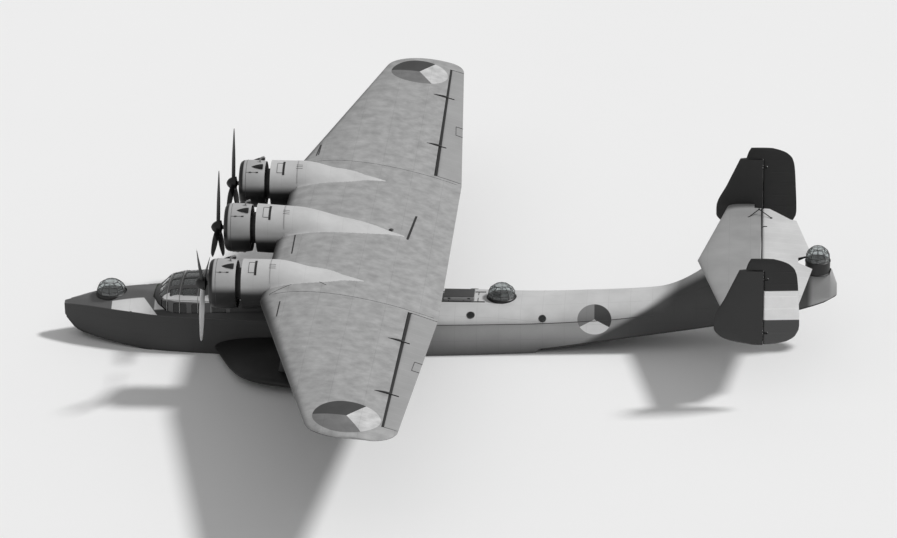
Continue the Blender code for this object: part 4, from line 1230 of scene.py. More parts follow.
    def deck_gear(self) -> None:
        """The battens of the walkway, the deck locker and the rod under the bow."""
        strips = Moulding()
        start, end = self.walkway
        half = self.walkway_half
        lines = [([(s, out) for s in spread(start, end, 18)], 0.018) for out in (-half, half)]
        lines += [([(s, out) for out in spread(-half, half, 7)], 0.012) for s in spread(start, end - 0.2, 7)]
        for line, radius in lines:
            strips.tube([at(s, out, self.deck_height(s, out) + PROUD) for s, out in line], radius, 6)
        install(strips.make("walkway_battens", [DARK_ENAMEL]), AIRFRAME)
        low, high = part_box("deck_locker")
        long, wide, tall = high - low
        middle = (low + high) / 2
        lid = Moulding()
        lid.block(Vector((middle.x, 0, middle.z - 0.02)), (long, wide, tall + 0.02))
        lid.block(Vector((middle.x, 0, high.z - 0.002)), (long - 0.02, wide - 0.02, 0.012), 1)
        for place in (-0.28, 0.28):
            lid.block(Vector((middle.x + place, high.y - 0.005, high.z - 0.05)), (0.08, 0.02, 0.05), 1)
        made = lid.make("deck_locker_box", [LIGHT_ENAMEL, MID_ENAMEL])
        install(made, AIRFRAME, ["deck_locker"])
        low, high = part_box("bow_rod")
        foot = Vector(((low.x + high.x) / 2, 0, low.z))
        top = foot + UP * (high.z - low.z)
        pole = Moulding()
        pole.tube([top, foot + UP * 0.04, foot], [0.034, 0.034, 0.026], 16)
        pole.turned(((0.036, 0.0), (0.06, 0.01), (0.06, 0.03), (0.036, 0.04)), top - UP * 0.16, UP, 16)
        install(pole.make("bow_sounding_rod", [BARE_STEEL]), AIRFRAME, ["bow_rod"])


# Canopy and cockpit
@dataclass
class Canopy:
    """The cabin over the cockpit: a framed shell with its panes, and the fairing behind it."""

    rows: Table = (
        (2.62, 0.42, 0.40, 1.25, 1.34),
        (2.80, 0.72, 0.66, 1.32, 1.46),
        (3.05, 0.95, 0.84, 1.43, 1.68),
        (3.35, 1.05, 0.96, 1.47, 1.75),
        (4.05, 1.10, 1.02, 1.48, 1.79),
        (4.38, 1.11, 1.03, 1.47, 1.64),
        (4.90, 1.12, 1.04, 1.42, 1.56),
    )
    fairing: Table = (
        (4.90, 1.12, 1.04, 1.42, 1.56),
        (5.80, 1.08, 0.95, 1.38, 1.52),
        (6.80, 0.80, 0.65, 1.32, 1.44),
        (7.60, 0.35, 0.25, 1.27, 1.36),
    )
    sill: float = 1.05
    wall: float = 0.03
    glass_wall: float = 0.008
    side_windows: Table = ((2.90, 3.12), (3.27, 3.66), (3.80, 4.06), (4.40, 4.80))
    side_window_heights: Pair = (1.09, 1.40)
    screen_panes: Table = ((0.04, 0.36, 1.45, 1.66), (0.43, 0.68, 1.42, 1.60))
    roof_panes: Table = ((3.14, 3.40, 0.05, 0.46), (3.50, 3.90, 0.05, 0.46))
    upper_panes: Table = ((3.16, 3.42, 0.60, 0.86), (3.52, 3.92, 0.62, 0.90))

    def ring(self, station: float, table: Table, shrink: float, floor: float) -> list[Vector]:
        """One section of the canopy.

        Args:
            station: Where the section is.
            table: The rows of the cabin or of the fairing.
            shrink: How far it is drawn in.
            floor: The height of its foot.

        Returns:
            The ring of points.
        """
        _, base, shoulder, shoulder_height, crown = table_row(table, station)
        half = [(base - shrink, floor)] if floor < self.sill else []
        for share in spread(0, 1, 5):
            out = base + (shoulder - base) * share
            half.append((out - shrink, self.sill + (shoulder_height - shrink * 0.5 - self.sill) * share))
        for angle in spread(0, math.pi / 2, 11)[1:-1]:
            rise = (crown - shoulder_height) * math.sin(angle) - shrink * (0.5 + 0.5 * math.sin(angle))
            half.append(((shoulder - shrink) * math.cos(angle), shoulder_height + rise))
        ring = [at(station, y, z) for y, z in half] + [at(station, 0, crown - shrink)]
        return ring + [at(station, -y, z) for y, z in reversed(half)]

    def shell(self, table: Table, shrink: float, floor: float, trim: float = 0.0) -> Moulding:
        """A lofted solid of the canopy.

        Args:
            table: The rows of the cabin or of the fairing.
            shrink: How far it is drawn in.
            floor: The height of its foot.
            trim: How much shorter it is at each end.

        Returns:
            The solid.
        """
        mould = Moulding()
        start, end = table[0][0] + trim, table[-1][0] - trim
        count = max(8, round((end - start) / 0.09))
        mould.loft([self.ring(s, table, shrink, floor) for s in spread(start, end, count)])
        return mould

    def window_tool(self, stations: Pair, outs: Pair, corner: float = 0.04) -> Moulding:
        """A round-cornered cutter for a side window, through one side.

        Args:
            stations: The window's front and rear.
            outs: The cutter's two ends, as distances to port.
            corner: The radius of the corners.

        Returns:
            The cutter.
        """
        (front, rear), (low, high) = stations, self.side_window_heights
        corners = ((rear, high, 0), (front, high, 90), (front, low, 180), (rear, low, 270))
        outline = []
        for station, height, start in corners:
            inner_s = station - math.copysign(corner, station - (front + rear) / 2)
            inner_z = height - math.copysign(corner, height - (low + high) / 2)
            for step in range(5):
                angle = math.radians(start + 22.5 * step)
                outline.append((inner_s + corner * math.cos(angle), inner_z + corner * math.sin(angle)))
        tool = Moulding()
        tool.loft([[at(s, y, z) for s, z in outline] for y in outs])
        return tool

    def build(self) -> None:
        """Makes the framed shell, the panes inside it, the fairing and the small fittings."""
        frame_shell = self.shell(self.rows, 0.0, self.sill).make("canopy_shell", [CANOPY_ENAMEL])
        tools = [self.shell(self.rows, self.wall, self.sill - 0.2, 0.05)]
        for side in Side:
            outs = (0.62 * side.value, 1.4 * side.value)
            tools += [self.window_tool(stations, outs) for stations in self.side_windows]
            for inner, outer, low, high in self.screen_panes:
                tools.append(box_tool((2.4, 3.2), (inner * side.value, outer * side.value), (low, high)))
            for pane in self.roof_panes + self.upper_panes:
                tools.append(plan_tool(self.rounded(pane, side), 1.52, 2.2))
        carve(frame_shell, tools, MID_ENAMEL)
        install(frame_shell, AIRFRAME, ["canopy_frame"])
        gap = self.wall * 0.5
        panes = self.shell(self.rows, gap, self.sill + 0.01, 0.06).make("canopy_panes", [CABIN_GLAZING])
        carve(panes, [self.shell(self.rows, gap + self.glass_wall, self.sill - 0.2, 0.07)], CABIN_GLAZING)
        install(panes, AIRFRAME, ["canopy_glass"])
        fairing = self.shell(self.fairing, 0.0, self.sill)
        install(fairing.make("canopy_fairing", [HULL_DECK]), AIRFRAME, ["cabin_fairing"])
        self.trim()

    def rounded(self, pane: Row, side: Side) -> list[Pair]:
        """A roof pane's outline in plan with its corners cut off.

        Args:
            pane: Its front, rear, inner and outer edge.
            side: The side that it is on.

        Returns:
            The corners, as (station, out).
        """
        cut = 0.035
        front, rear, inner, outer = pane
        outline = [(front + cut, inner), (rear - cut, inner), (rear, inner + cut), (rear, outer - cut)]
        outline += [(rear - cut, outer), (front + cut, outer), (front, outer - cut), (front, inner + cut)]
        return [(s, y * side.value) for s, y in outline]

    def trim(self) -> None:
        """The rails along the canopy's foot and cant rail, and the roof ribs."""
        rails = Moulding()
        for side in Side:
            foot = [table_row(self.rows + self.fairing[1:], s) for s in spread(2.66, 7.5, 40)]
            rails.tube([at(r[0], (r[1] + PROUD) * side.value, self.sill + 0.012) for r in foot], 0.014, 6, 1)
            cant = [table_row(self.rows, s) for s in spread(2.95, 4.86, 18)]
            rails.tube([at(r[0], (r[2] + 0.002) * side.value, r[3] + PROUD) for r in cant], 0.012, 6)
        for station in (3.08, 3.455, 3.985, 4.36):
            rails.tube(self.ring(station, self.rows, -0.003, self.sill), 0.010, 6)
        install(rails.make("canopy_rails", [LIGHT_ENAMEL, MID_ENAMEL]), AIRFRAME)


@dataclass
class Cockpit:
    """What shows through the panes: two seats, two control columns and the instrument panel."""

    wheel_radius: float = 0.145
    wheel_tilt: float = 80.0
    dial_rows: Table = ((1.08, 11), (0.93, 11), (0.78, 9))

    def build(self) -> None:
        """Makes both places and the panel between them."""
        for side in Side:
            self.seat(side)
            self.column(side)
        self.panel()

    def cushion(self, centre: Vector, size: Triple) -> Moulding:
        """A stuffed pad: a ball pressed towards a block, fuller in the middle than at its seams.

        Args:
            centre: Its middle.
            size: Its lengths along the axes.

        Returns:
            The pad.
        """
        rings = []
        for polar in spread(0, math.pi, 13):
            ring = []
            for unit in ellipse(UP * math.cos(polar), AHEAD * math.sin(polar), PORT * math.sin(polar), 24):
                shaped = [math.copysign(abs(v) ** 0.55, v) for v in unit]
                ring.append(centre + Vector(a * b / 2 for a, b in zip(shaped, size)))
            rings.append(ring)
        pad = Moulding()
        pad.loft(rings, caps=False)
        return pad

    def seat(self, side: Side) -> None:
        """A bucket seat on its pedestal, with two leather pads.

        Args:
            side: The side that it is on.
        """
        low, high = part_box(f"seat_{side.tag}")
        middle = (low + high) / 2
        pan = Moulding()
        pan.block(Vector((high.x - 0.21, middle.y, 0.30)), (0.30, 0.26, 0.30))
        pan.block(Vector((high.x - 0.21, middle.y, 0.47)), (0.42, 0.44, 0.05))
        pan.block(Vector((low.x + 0.03, middle.y, 0.86)), (0.03, 0.44, 0.76))
        for edge in (-0.215, 0.215):
            pan.block(Vector((high.x - 0.22, middle.y + edge, 0.56)), (0.36, 0.02, 0.16))
        shell = pan.make(f"seat_pan_{side.tag}", [COCKPIT_GREEN])
        install(shell, AIRFRAME, [f"seat_{side.tag}"])
        for name, centre, size in (
            ("seat_pad", Vector((high.x - 0.21, middle.y, 0.535)), (0.40, 0.40, 0.10)),
            ("back_pad", Vector((low.x + 0.085, middle.y, 0.90)), (0.09, 0.40, 0.64)),
        ):
            made = self.cushion(centre, size).make(f"{name}_{side.tag}", [SEAT_LEATHER], SOFT_CREASE)
            install(made, AIRFRAME)

    def column(self, side: Side) -> None:
        """A control column with a spoked wheel.

        Args:
            side: The side that it is on.
        """
        low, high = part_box(f"control_column_{side.tag}")
        foot = (low + high) / 2
        top = foot.copy()
        foot.z, top.z = low.z, high.z - 0.15
        stick = Moulding()
        stick.tube([foot, top], 0.02, 12)
        tilt = Matrix.Rotation(math.radians(self.wheel_tilt), 3, "Y")
        right, up = tilt @ AHEAD * self.wheel_radius, PORT * self.wheel_radius
        stick.tube(closed_path(ellipse(top, right, up, 32)), 0.012, 8, 1)
        for angle in map(math.radians, (90, 210, 330)):
            stick.tube([top, top + right * math.cos(angle) + up * math.sin(angle)], 0.007, 6)
        stick.ball(top, (0.03, 0.03, 0.03), 12)
        made = stick.make(f"control_wheel_{side.tag}", [BARE_STEEL, RUBBER])
        install(made, AIRFRAME, [f"control_column_{side.tag}"])

    def panel(self) -> None:
        """The instrument panel with its dials and their pointers."""
        low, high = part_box("instrument_panel")
        middle = (low + high) / 2
        middle.y = 0
        board = Moulding()
        board.block(middle, high - low)
        dial = ((0.0, 0.0), (0.045, 0.0), (0.045, 0.004), (0.052, 0.008), (0.058, 0.0))
        for row, (height, count) in enumerate(self.dial_rows):
            for out in spread(-0.74, 0.74, count):
                face = Vector((low.x - 0.001, out, height))
                board.turned(dial, face, -AHEAD, 20, 1)
                pin = face - AHEAD * 0.006
                board.tube([pin, pin + Vector((0, 0.012 * (row - 1), 0.035))], 0.003, 4)
        made = board.make("instrument_board", [PANEL_BLACK, DIAL_FACE])
        install(made, AIRFRAME, ["instrument_panel"])


# Wing
@dataclass
class Wing:
    """The parasol wing: a level centre section and two tapered outer panels, with their ailerons."""

    half_span: float = 13.5
    centre_half: float = 4.75
    root_chord: float = 4.88
    station: float = 6.24
    height: float = 3.14
    incidence: float = math.tan(math.radians(5.2))
    dihedral_rise: float = 0.30
    tip_start: float = 12.8
    tip_front: float = 8.28
    tip_rear: float = 10.67
    root_thickness: float = 0.150
    tip_thickness: float = 0.120
    camber: float = 0.028
    edge: float = 0.010
    aileron_ends: Pair = (4.92, 12.72)
    hinge_stations: Pair = (10.43, 10.31)
    lugs: Pair = (7.0, 10.6)
    lug_half: float = 0.035
    tab_outs: Pair = (8.1, 8.7)
    tab_chord: float = 0.20
    end_gap: float = 0.03
    nose_gap: float = 0.010

    def chord(self, out: float) -> Row:
        """The section at a distance out.

        Args:
            out: The distance from the centre plane.

        Returns:
            Leading edge station and height, trailing edge station, and thickness as a share of the chord.
        """
        panel = max(0.0, (out - self.centre_half) / (self.tip_start - self.centre_half))
        share = min(1.0, panel)
        front = self.station + (self.tip_front - self.station) * share
        rear = self.station + self.root_chord + (self.tip_rear - self.station - self.root_chord) * share
        thickness = self.root_thickness + (self.tip_thickness - self.root_thickness) * share
        if out > self.tip_start:
            reach = min(1.0, (out - self.tip_start) / (self.half_span - self.tip_start))
            drop = 1 - math.sqrt(max(0.0, 1 - reach * reach))
            front += 0.253 * (out - self.tip_start) + 0.843 * drop
            rear -= 0.056 * (out - self.tip_start) + 0.63 * drop
            thickness *= math.sqrt(1 - 0.75 * reach * reach)
        rise = self.dihedral_rise * max(0.0, out - self.centre_half) / (self.half_span - self.centre_half)
        panel_front = self.station + (self.tip_front - self.station) * panel
        return front, self.height + rise - self.incidence * (front - panel_front), rear, thickness

    def heights(self, out: float, station: float) -> Pair:
        """Heights of the upper and the lower surface.

        Args:
            out: The distance out, to either side.
            station: The station.

        Returns:
            The upper and the lower height.
        """
        front, height, rear, thickness = self.chord(abs(out))
        chord = rear - front
        share = min(1.0, max(0.0, (station - front) / chord))
        upper, lower = foil(share, thickness, self.camber)
        middle = height - self.incidence * (station - front)
        half_edge = self.edge / 2 * share
        return middle + upper * chord + half_edge, middle + lower * chord - half_edge

    def skin(self, name: str, outs: Sequence[float]) -> bpy.types.Object:
        """A fine skin of part of the wing.

        Args:
            name: The piece's name.
            outs: The distances to port of its sections.

        Returns:
            The piece.
        """
        count = 26
        mould = Moulding()
        rings = []
        for out in outs:
            front, _, rear, _ = self.chord(abs(out))
            rings.append(foil_ring(self.heights, out, foil_stations(front, rear, count)))
        mould.loft(rings, slots=[0] * (count - 1) + [1] * count)
        return mould.make(name, [WING_TOP, WING_UNDER], FOIL_CREASE)

    def hinge(self, side: Side) -> tuple[tuple[Vector, float], ...]:
        """Both ends of the aileron's hinge line, and the half thickness there.

        Args:
            side: The side of the aileron.

        Returns:
            A point and a half thickness for the inner end, and for the outer one.
        """
        ends = []
        for out, station in zip(self.aileron_ends, self.hinge_stations):
            high, low = self.heights(out, station)
            ends.append((at(station, out * side.value, (high + low) / 2), (high - low) / 2))
        return tuple(ends)

    def build(self) -> None:
        """Makes the centre section, both panels, the ailerons and what shows on their skins."""
        half = self.centre_half
        centre = self.skin("wing_centre_skin", spread(-half, half, 20))
        install(centre, AIRFRAME, ["wing_centre"])
        for side in Side:
            self.panel(side)
            self.aileron(side)
            self.marks(side)
        self.centre_marks()

    def panel(self, side: Side) -> None:
        """One outer panel, with the bay cut for its aileron.

        Args:
            side: The side that it is on.
        """
        outs = spread(self.centre_half, self.tip_start, 26)[:-1]
        span = self.half_span - self.tip_start
        outs += [self.tip_start + span * math.sin(math.pi / 2 * share) for share in spread(0, 1, 14)]
        skin = self.skin(f"wing_{side.tag}_skin", [out * side.value for out in outs])
        (_, inner_radius), (_, outer_radius) = self.hinge(side)
        low_out, high_out = self.aileron_ends[0] - self.end_gap, self.aileron_ends[1] + self.end_gap
        inner_front = self.hinge_stations[0] - inner_radius - self.nose_gap
        outer_front = self.hinge_stations[1] - outer_radius - self.nose_gap
        bay = [(inner_front, low_out), (12.0, low_out), (12.0, high_out), (outer_front, high_out)]
        tool = plan_tool([(s, y * side.value) for s, y in bay], 1.0, 5.0)
        carve(skin, [tool], DARK_ENAMEL, FOIL_CREASE)
        install(skin, AIRFRAME, [f"wing_{side.tag}"])

    def aileron(self, side: Side) -> None:
        """The cloth-covered aileron, with a round nose, cuts for its lugs and the outline of its trim tab.

        Args:
            side: The side that it is on.
        """
        (inner, inner_radius), (outer, outer_radius) = self.hinge(side)
        rings = []
        for share in spread(0, 1, 24):
            hinge = inner.lerp(outer, share)
            radius = inner_radius + (outer_radius - inner_radius) * share
            rings.append(flap_ring(self.heights, hinge, radius, self.chord(abs(hinge.y))[2]))
        mould = Moulding()
        mould.loft(rings)
        body = f"aileron_{side.tag}"
        cloth = mould.make(f"{body}_cloth", [CONTROL_CLOTH], CLOTH_CREASE)
        tools = []
        for out in self.lugs:
            outs = ((out - self.lug_half) * side.value, (out + self.lug_half) * side.value)
            tools.append(box_tool((9.0, 10.52), outs, (2.0, 4.5)))
        carve(cloth, tools, DARK_ENAMEL, CLOTH_CREASE)
        install(cloth, body, [body])
        lines = [[(self.chord(out)[2] - self.tab_chord, out) for out in spread(*self.tab_outs, 5)]]
        for out in self.tab_outs:
            rear = self.chord(out)[2]
            lines.append([(rear - self.tab_chord, out), (rear + 0.006, out)])
        trim = Moulding()
        for line in lines:
            trim.tube([at(s, out * side.value, self.heights(out, s)[0] + PROUD) for s, out in line], 0.008, 6)
        install(trim.make(f"aileron_tab_{side.tag}", [DARK_ENAMEL]), body)

    def line(self, mould: Moulding, ends: Sequence[Pair], wide: float) -> None:
        """A dark line laid on the upper skin.

        Args:
            mould: What it is added to.
            ends: The points that it passes through, as (station, out).
            wide: Its width.
        """
        path = []
        for (first_s, first_y), (last_s, last_y) in zip(ends, ends[1:]):
            for share in spread(0, 1, 24):
                station, out = first_s + (last_s - first_s) * share, first_y + (last_y - first_y) * share
                path.append(at(station, out, self.heights(out, station)[0]))
        rings = []
        last = len(path) - 1
        for index, point in enumerate(path):
            ahead = path[min(index + 1, last)] - path[max(index - 1, 0)]
            if ahead.length < 1e-6:
                ahead = path[min(index + 2, last)] - path[max(index - 2, 0)]
            across = UP.cross(ahead).normalized() * wide / 2
            left, right = point + across + UP * PROUD, point - across + UP * PROUD
            rings.append([left, right, right - UP * 0.01, left - UP * 0.01])
        mould.loft(rings)

    def lug_fairing(self, mould: Moulding, out: float, station: float, side: Side) -> None:
        """The long teardrop over an aileron's lug, and the bracket under the wing.

        Args:
            mould: What it is added to.
            out: The lug's distance out.
            station: The hinge line's station there.
            side: The side that it is on.
        """
        full = 0.045
        rings = []
        for place in spread(0, 1, 12):
            here = station - 0.46 + 0.44 * place
            low = self.heights(out, here)[0] - 0.006
            wide = full * math.sin(math.pi * min(1.0, place * 0.5 + 0.08))
            ring = []
            for angle in spread(0, math.pi, 8):
                tall = 0.05 * wide / full * math.sin(angle)
                ring.append(at(here, (out + wide * math.cos(angle)) * side.value, low + tall))
            rings.append(ring)
        mould.loft(rings)
        low = self.heights(out, station)[1]
        mould.block(at(station - 0.12, out * side.value, low - 0.005), (0.30, 0.035, 0.05))

    def marks(self, side: Side) -> None:
        """The hinge fairings, a dark strip over the hinge line as painted shade of its gap, and a line on one
        outer panel.

        Args:
            side: The side that they are on.
        """
        mould = Moulding()
        ends = []
        for out, station, (_, radius) in zip(self.aileron_ends, self.hinge_stations, self.hinge(side)):
            ends.append((station - radius * 0.6, out * side.value))
        # Painted shade: a dark strip over the aileron's hinge gap
        self.line(mould, ends, 0.075)
        for out in self.lugs:
            share = (out - self.aileron_ends[0]) / (self.aileron_ends[1] - self.aileron_ends[0])
            station = self.hinge_stations[0] + (self.hinge_stations[1] - self.hinge_stations[0]) * share
            self.lug_fairing(mould, out, station, side)
        self.line(mould, [(6.86, 5.3 * side.value), (6.86, 6.2 * side.value)], 0.03)
        install(mould.make(f"wing_lines_{side.tag}", [DARK_ENAMEL]), AIRFRAME)

    def centre_marks(self) -> None:
        """A wide dark line, mostly on the starboard half, the filler cap and the panel lines on the centre
        section.
        """
        mould = Moulding()
        for ends, wide in (
            ([(10.02, -1.60), (9.90, 0.16)], 0.10),
            ([(6.80, 0.74), (6.84, 2.07)], 0.035),
            ([(6.80, -5.26), (6.84, -6.23)], 0.035),
            ([(6.50, 4.70), (7.17, 4.16), (7.50, 4.05), (7.78, 4.04), (8.02, 4.23)], 0.016),
            ([(6.5, -self.centre_half), (11.0, -self.centre_half)], 0.008),
            ([(6.5, self.centre_half), (11.0, self.centre_half)], 0.008),
        ):
            self.line(mould, ends, wide)
        cap = at(9.43, -0.18, self.heights(0.18, 9.43)[0] + 0.02)
        mould.turned(((0.0, 0.022), (0.055, 0.022), (0.07, 0.008), (0.07, -0.01)), cap, UP, 20)
        install(mould.make("wing_centre_lines", [DARK_ENAMEL]), AIRFRAME)


# Engines
@dataclass
class Engine:
    """One engine: its nacelle on the wing, cowl, cylinders and propeller."""

    place: Station
    out: float
    thrust: float
    length: float
    droop: float
    blade_angle: float
    wing: Wing = field(default_factory=Wing)
    firewall: float = 5.66
    cowl_front: float = 4.74
    cowl_rear: float = 5.50
    cowl_radius: float = 0.69
    propeller_station: float = 4.52
    shaft_radius: float = 0.06
    cylinders: int = 9
    barrel_station: float = 5.16
    nacelle_rows: Table = (
        (0.00, 0.00, 0.69, 0.69, 0.690),
        (0.90, 0.00, 0.68, 0.68, 0.690),
        (1.90, -0.05, 0.50, 0.51, 0.600),
        (2.75, -0.12, 0.30, 0.18, 0.420),
        (3.30, -0.20, 0.14, 0.08, 0.200),
        (3.45, -0.24, 0.09, 0.06, 0.090),
    )
    lip_radius: float = 0.688
    ridge_height: float = 0.085
    fillet_front: float = 6.44
    fillet_half: float = 1.05
    blade_rows: Table = (
        (0.14, 0.13, 0.090, 50.0),
        (0.45, 0.19, 0.055, 38.0),
        (0.95, 0.25, 0.035, 26.0),
        (1.36, 0.22, 0.022, 19.0),
        (1.55, 0.15, 0.014, 17.0),
        (1.60, 0.06, 0.010, 17.0),
    )

    @property
    def tag(self) -> str:
        """The engine's word in node names."""
        return self.place.value

    def build(self) -> None:
        """Makes the whole engine."""
        self.nacelle()
        self.fillet()
        self.cowl()
        self.motor()
        self.small_parts()
        self.propeller()

    @property
    def nacelle_end(self) -> float:
        """The station of the nacelle's point."""
        return self.firewall + self.nacelle_rows[-1][0] * self.length

    def row(self, station: float) -> Row:
        """The nacelle's section at a station.

        Args:
            station: Where the section is.

        Returns:
            The height of its middle, its rise, its drop and its half width.
        """
        place = (station - self.firewall) / self.length
        _, centre, rise, drop, half_width = table_row(self.nacelle_rows, place)
        return self.thrust + centre - self.droop * place / self.nacelle_rows[-1][0], rise, drop, half_width

    def outward(self, angle: float) -> Vector:
        """The direction from the thrust line at an angle in degrees from the top towards port."""
        turn = math.radians(angle)
        return Vector((0, math.sin(turn), math.cos(turn)))

    def hoop(self, centre: Vector, radius: float, count: int) -> list[Vector]:
        """A closed path round the thrust line."""
        return closed_path(ellipse(centre, UP * radius, PORT * radius, count))

    def skin_point(self, station: float, angle: float, lift: float = 0.0) -> Vector:
        """A point on the nacelle's skin.

        Args:
            station: Its station.
            angle: Its angle in degrees from the top towards port.
            lift: How far it stands off the skin.

        Returns:
            The point.
        """
        middle, rise, drop, half_width = self.row(station)
        outward = self.outward(angle)
        reach = rise if outward.z > 0 else drop
        flat = at(station, self.out + half_width * outward.y, middle + reach * outward.z)
        return flat + outward * lift

    def nacelle(self) -> None:
        """The nacelle's skin from the firewall to its point, with a lip at the firewall."""
        mould = Moulding()
        angles = [360 * step / 64 for step in range(64)]
        stations = spread(self.firewall, self.nacelle_end, 44)
        mould.loft([[self.skin_point(station, angle) for angle in angles] for station in stations])
        lip = self.hoop(at(self.firewall + 0.012, self.out, self.thrust), self.lip_radius, 64)
        mould.tube(lip, 0.007, 6)
        made = mould.make(f"nacelle_{self.tag}_skin", [NACELLE_ENAMEL])
        install(made, AIRFRAME, [f"nacelle_{self.tag}"])

    def top(self, station: float, across: float) -> float:
        """Height of the nacelle's top, carried steeply down past its sides.

        Args:
            station: The station.
            across: The distance from its middle.

        Returns:
            The height there.
        """
        middle, rise, _, half_width = self.row(station)
        share = abs(across) / half_width
        if share < 1:
            return middle + rise * math.sqrt(1 - share * share)
        return middle - 3 * (abs(across) - half_width)

    def ridge(self, station: float, across: float) -> float:
        """Height over the wing of the slim ridge that the nacelle's top ends in.

        Args:
            station: The station.
            across: The distance from its middle.

        Returns:
            The height, below 0 beside the ridge.
        """
        share = min(1.0, max(0.0, (self.nacelle_end - 0.1 - station) / (1.1 * self.length)))
        return self.ridge_height * share * (1 - (across / (0.02 + 0.30 * share)) ** 2)

    def fillet(self) -> None:
        """The beaten skin that carries the nacelle's top into the wing."""
        front, end = self.fillet_front, self.nacelle_end
        rings = []
        for station in spread(front, end, 60):
            width = 0.16 * smooth(front, 6.9, station) * (1 - 0.75 * smooth(7.4, end, station)) + 0.01
            ring = []
            for across in spread(-self.fillet_half, self.fillet_half, 56):
                wing = self.wing.heights(self.out + across, station)[0]
                blended = soft_maximum(wing, self.top(station, across), width)
                height = max(blended, wing + self.ridge(station, across))
                lift = 0.003 if height - wing > 0.0015 else -0.012
                ring.append(at(station, self.out + across, height + lift))
            rings.append(ring)
        mould = Moulding()
        mould.loft(rings, closed=False)
        made = mould.make(f"nacelle_{self.tag}_fillet", [NACELLE_ENAMEL], SOFT_CREASE)
        thick = made.modifiers.new("thickness", "SOLIDIFY")
        thick.thickness = 0.004
        thick.offset = -1.0
        install(made, AIRFRAME)

    def cowl(self) -> None:
        """The round cowl with its rolled lip, seams and latches."""
        depth = self.cowl_rear - self.cowl_front
        radius = self.cowl_radius
        profile = [(0.50, depth - 0.07), (0.505, depth - 0.03), (0.53, depth - 0.005), (0.56, depth)]
        profile += [(0.60, depth - 0.006), (0.64, depth - 0.035), (0.67, depth - 0.085)]
        profile += [(radius - 0.005, depth - 0.15), (radius, depth - 0.22), (radius, 0.40), (radius, 0.18)]
        profile += [(radius - 0.015, 0.08), (radius - 0.03, 0.0), (radius - 0.042, 0.0)]
        profile += [(radius - 0.03, 0.10), (radius - 0.025, 0.18), (radius - 0.025, depth - 0.22)]
        profile += [(radius - 0.06, depth - 0.14), (0.58, depth - 0.10), (0.50, depth - 0.07)]
        mould = Moulding()
        centre = at(self.cowl_rear, self.out, self.thrust)
        mould.turned(profile, centre, AHEAD, 96)
        made = mould.make(f"cowl_{self.tag}_ring", [COWL_ENAMEL])
        install(made, AIRFRAME, [f"cowl_{self.tag}"])
        seams = Moulding()
        for angle in (40, 160, 280):
            low = centre + self.outward(angle) * (radius + 0.001)
            seams.tube([low + AHEAD * 0.19, low + AHEAD * (depth - 0.22)], 0.006, 6)
            for place in (0.22, 0.42):
                seams.block(low + AHEAD * place, (0.07, 0.03, 0.03))
        seams.tube(self.hoop(centre + AHEAD * (depth - 0.215), radius + 0.001, 72), 0.005, 6)
        install(seams.make(f"cowl_{self.tag}_seams", [MID_ENAMEL]), AIRFRAME)

    def motor(self) -> None:
        """The crankcase, nine finned cylinders, their rocker boxes, pushrods and the exhaust ring."""
        base = at(self.firewall, self.out, self.thrust)
        case = Moulding()
        profile = [(0.08, 0.97), (0.15, 0.97), (0.16, 0.93), (0.20, 0.88), (0.21, 0.84), (0.28, 0.76)]
        profile += [(0.29, 0.72), (0.345, 0.64), (0.345, 0.36), (0.40, 0.32), (0.43, 0.22), (0.45, 0.0)]
        case.turned(profile, base, AHEAD, 48)
        for index in range(18):
            bolt = base + self.outward(20 * index + 10) * 0.245 + AHEAD * 0.79
            case.turned(((0.0, 0.02), (0.012, 0.02), (0.012, 0.0)), bolt, AHEAD, 6)
        barrels = Moulding()
        tubes = Moulding()
        hub = at(self.barrel_station, self.out, self.thrust)
        for index in range(self.cylinders):
            outward = self.outward(360 * index / self.cylinders)
            across = outward.cross(AHEAD)
            profile = [(0.080, 0.32)]
            for fin in range(11):
                low = 0.345 + fin * 0.0205
                profile += [(0.070, low), (0.094, low + 0.005), (0.094, low + 0.011), (0.070, low + 0.016)]
            profile += [(0.06, 0.585), (0.0, 0.60)]
            barrels.turned(profile, hub, outward, 22)
            for lean in (-1, 1):
                head = hub + outward * 0.605 + AHEAD * 0.045 * lean
                barrels.tube([head - outward * 0.05, head + outward * 0.03], [0.034, 0.028], 10, 1)
                foot = base + outward * 0.30 + AHEAD * 0.71 + across * 0.035 * lean
                tubes.tube([foot, hub + outward * 0.585 + AHEAD * 0.09 + across * 0.035 * lean], 0.011, 8)
            pipe = [
                hub + outward * 0.56 - AHEAD * 0.06,
                hub + outward * 0.585 - AHEAD * 0.13,
                hub + outward * 0.56 - AHEAD * 0.22,
            ]
            tubes.tube(pipe, 0.03, 10, 1)
        tubes.tube(self.hoop(hub - AHEAD * 0.25, 0.55, 36), 0.045, 12, 1)
        node = f"engine_{self.tag}"
        install(case.make(f"{node}_case", [ENGINE_CASTING]), AIRFRAME, [node])
        made = barrels.make(f"{node}_cylinders", [CYLINDER_STEEL, ENGINE_CASTING])
        install(made, AIRFRAME)
        install(tubes.make(f"{node}_tubes", [BARE_STEEL, EXHAUST_STEEL]), AIRFRAME)

